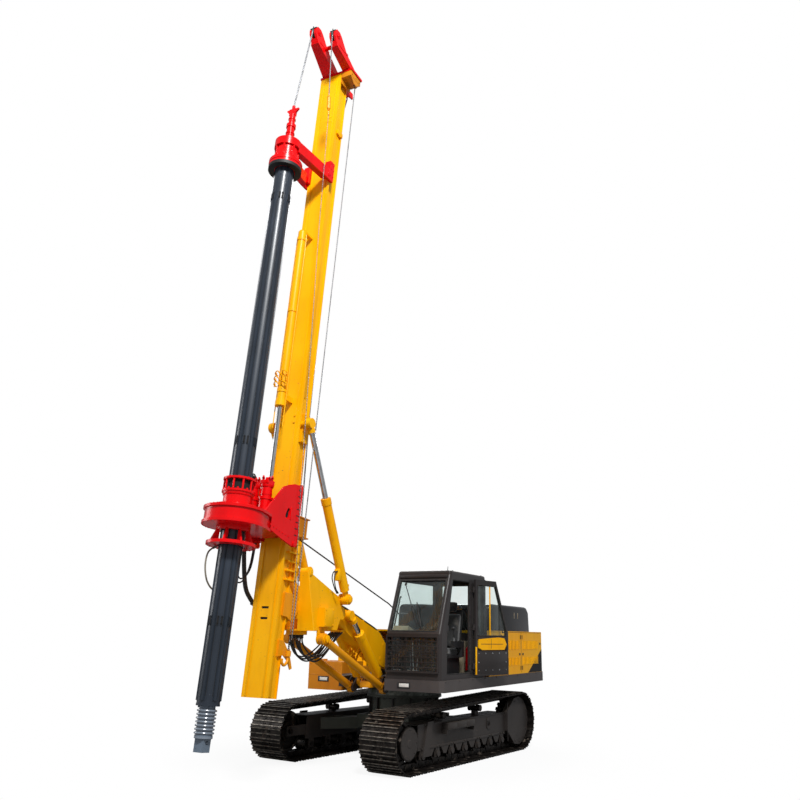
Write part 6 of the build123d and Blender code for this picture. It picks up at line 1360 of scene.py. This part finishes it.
for i in range(6):
    for shift in (-16.5, 16.5):
        groove = Matrix.Translation((0, KELLY_Y, 0)) @ Matrix.Rotation(math.radians(60 * i + 10 + shift), 4, "Z")
        for span in ((-1.18, 1.96), (2.09, 5.82)):
            line = slab(groove_and_pocket_shade, (0.1355, 0.1388), (-0.0045, 0.0045), span)
            bmesh.ops.transform(groove_and_pocket_shade, matrix=groove, verts=line)
    spoke = Matrix.Translation((0, KELLY_Y, 0)) @ Matrix.Rotation(math.radians(60 * i + 10), 4, "Z")
    for shift in (-13, 13, 30):
        lane = spoke @ Matrix.Rotation(math.radians(shift), 4, "Z")
        wide, out = (0.022, 0.1475) if shift == 30 else (0.006, 0.1405)
        for span in ((-1.22, 1.98), (2.07, 5.84), (5.94, 6.3)):
            rib = slab(bm, (0.136, out), (-wide, wide), span)
            bmesh.ops.transform(bm, matrix=lane, verts=rib)
    for z in (5.889, 2.023, -0.31):
        for shift in (-9.5, 9.5):
            lane = spoke @ Matrix.Rotation(math.radians(shift), 4, "Z")
            for target, wide, out in ((bm, 0.017, 0.147), (groove_and_pocket_shade, 0.011, 0.1495)):
                pad = pin(target, (0.134, out), 0, z - 0.045, wide, 12)
                pad += pin(target, (0.134, out), 0, z + 0.045, wide, 12)
                pad += slab(target, (0.134, out), (-wide, wide), (z - 0.045, z + 0.045))
                bmesh.ops.transform(target, matrix=lane, verts=pad)
    for shift in (22, 38):
        turn = math.radians(60 * i + 10 + shift)
        ray = Vector((math.cos(turn), math.sin(turn), 0))
        for k in range(5):
            bolt(bm, Vector((0, KELLY_Y, -1.226 + 0.0895 * k)) + ray * 0.137, ray, 0.008)
band(bm, (0.136, 0.1415), (-1.289, -1.262), 48)
finished(bm, "kelly_ribs_and_locks", kelly_blue, "kelly_outer", LEAN)
finished(groove_and_pocket_shade, "kelly_painted_groove_and_pocket_shade", shadow_black, "kelly_outer", LEAN)
bm = bmesh.new()
band(bm, (0.09, 0.108), (-1.648, -1.622), 40)
for side in (-1, 1):
    pin(bm, (side * 0.064, side * 0.07), KELLY_Y, -1.695, 0.01, 12)
finished(bm, "stub_collar", spring_steel, "kelly_inner", LEAN)


# Rope bracket and parked hook: folded plate behind the mast that the ropes pass, and a
# swivel hook on its chain, held against a curved bracket low on the mast's side.
paint(link_yellow, "rope_guide")
bm = bmesh.new()
for z in (1.019, 1.295):
    slab(bm, (-0.0815, 0.0815), (-0.183, 0.232), (z, z + 0.018), 0.001)
for side in (-1, 1):
    slab(bm, (side * 0.053, side * 0.0712), (-0.182, 0.1915), (1.036, 1.2965))
slab(bm, (-0.0812, 0.0812), (-0.2012, -0.1805), (0.999, 1.331))
pin(bm, (-0.052, 0.052), 0.14, 1.165, 0.06, 28)
finished(bm, "rope_bracket_skin", orange, "mast", LEAN)
bm = bmesh.new()
prism(bm, (0.1705, 0.1885), (
    (-0.3, 0.19), (-0.06, 0.19), (0.02, 0.06), (0.02, -0.04), (-0.08, -0.18), (-0.22, -0.12),
    (-0.3, -0.12)))
slab(bm, (0.149, 0.1715), (-0.3, -0.205), (-0.11, 0.18))
prism(bm, (0.1655, 0.1815), (
    (-0.3, -0.43), (-0.205, -0.43), (-0.12, -0.52), (-0.02, -0.64), (0.04, -0.77), (0.0, -0.79),
    (-0.08, -0.68), (-0.18, -0.62), (-0.3, -0.64)))
slab(bm, (0.149, 0.1665), (-0.3, -0.205), (-0.64, -0.43))
post(bm, 0.25, -0.17, (-0.56, -0.63), 0.036, 20)
post(bm, 0.25, -0.17, (-0.54, -0.562), 0.022, 16)
hook = ((-0.17, -0.625), (-0.172, -0.68), (-0.205, -0.73), (-0.25, -0.745), (-0.29, -0.715), (-0.296, -0.665))
tube_along(bm, [(0.25, *point) for point in hook], 0.019, 12, 5)
finished(bm, "ear_plates_and_hook", link_yellow, "mast", LEAN)
bm = bmesh.new()
for i in range(5):
    z = -0.445 - 0.024 * i
    flat = Matrix.Rotation(math.radians(90 * (i % 2)), 4, "Z")
    link = bmesh.new()
    for side in (-1, 1):
        post(link, side * 0.011, 0, (-0.012, 0.012), 0.0045, 6)
        pin(link, (-0.011, 0.011), 0, side * 0.015, 0.0045, 6)
    link.transform(Matrix.Translation((0.262, -0.19, z)) @ flat)
    merge(link, bm)
tube_along(bm, [(0.3, -0.238, -0.45), (0.28, -0.215, -0.44), (0.262, -0.19, -0.445)], 0.008, 8, 4)
finished(bm, "hook_chain", sheave_steel, "mast", LEAN)
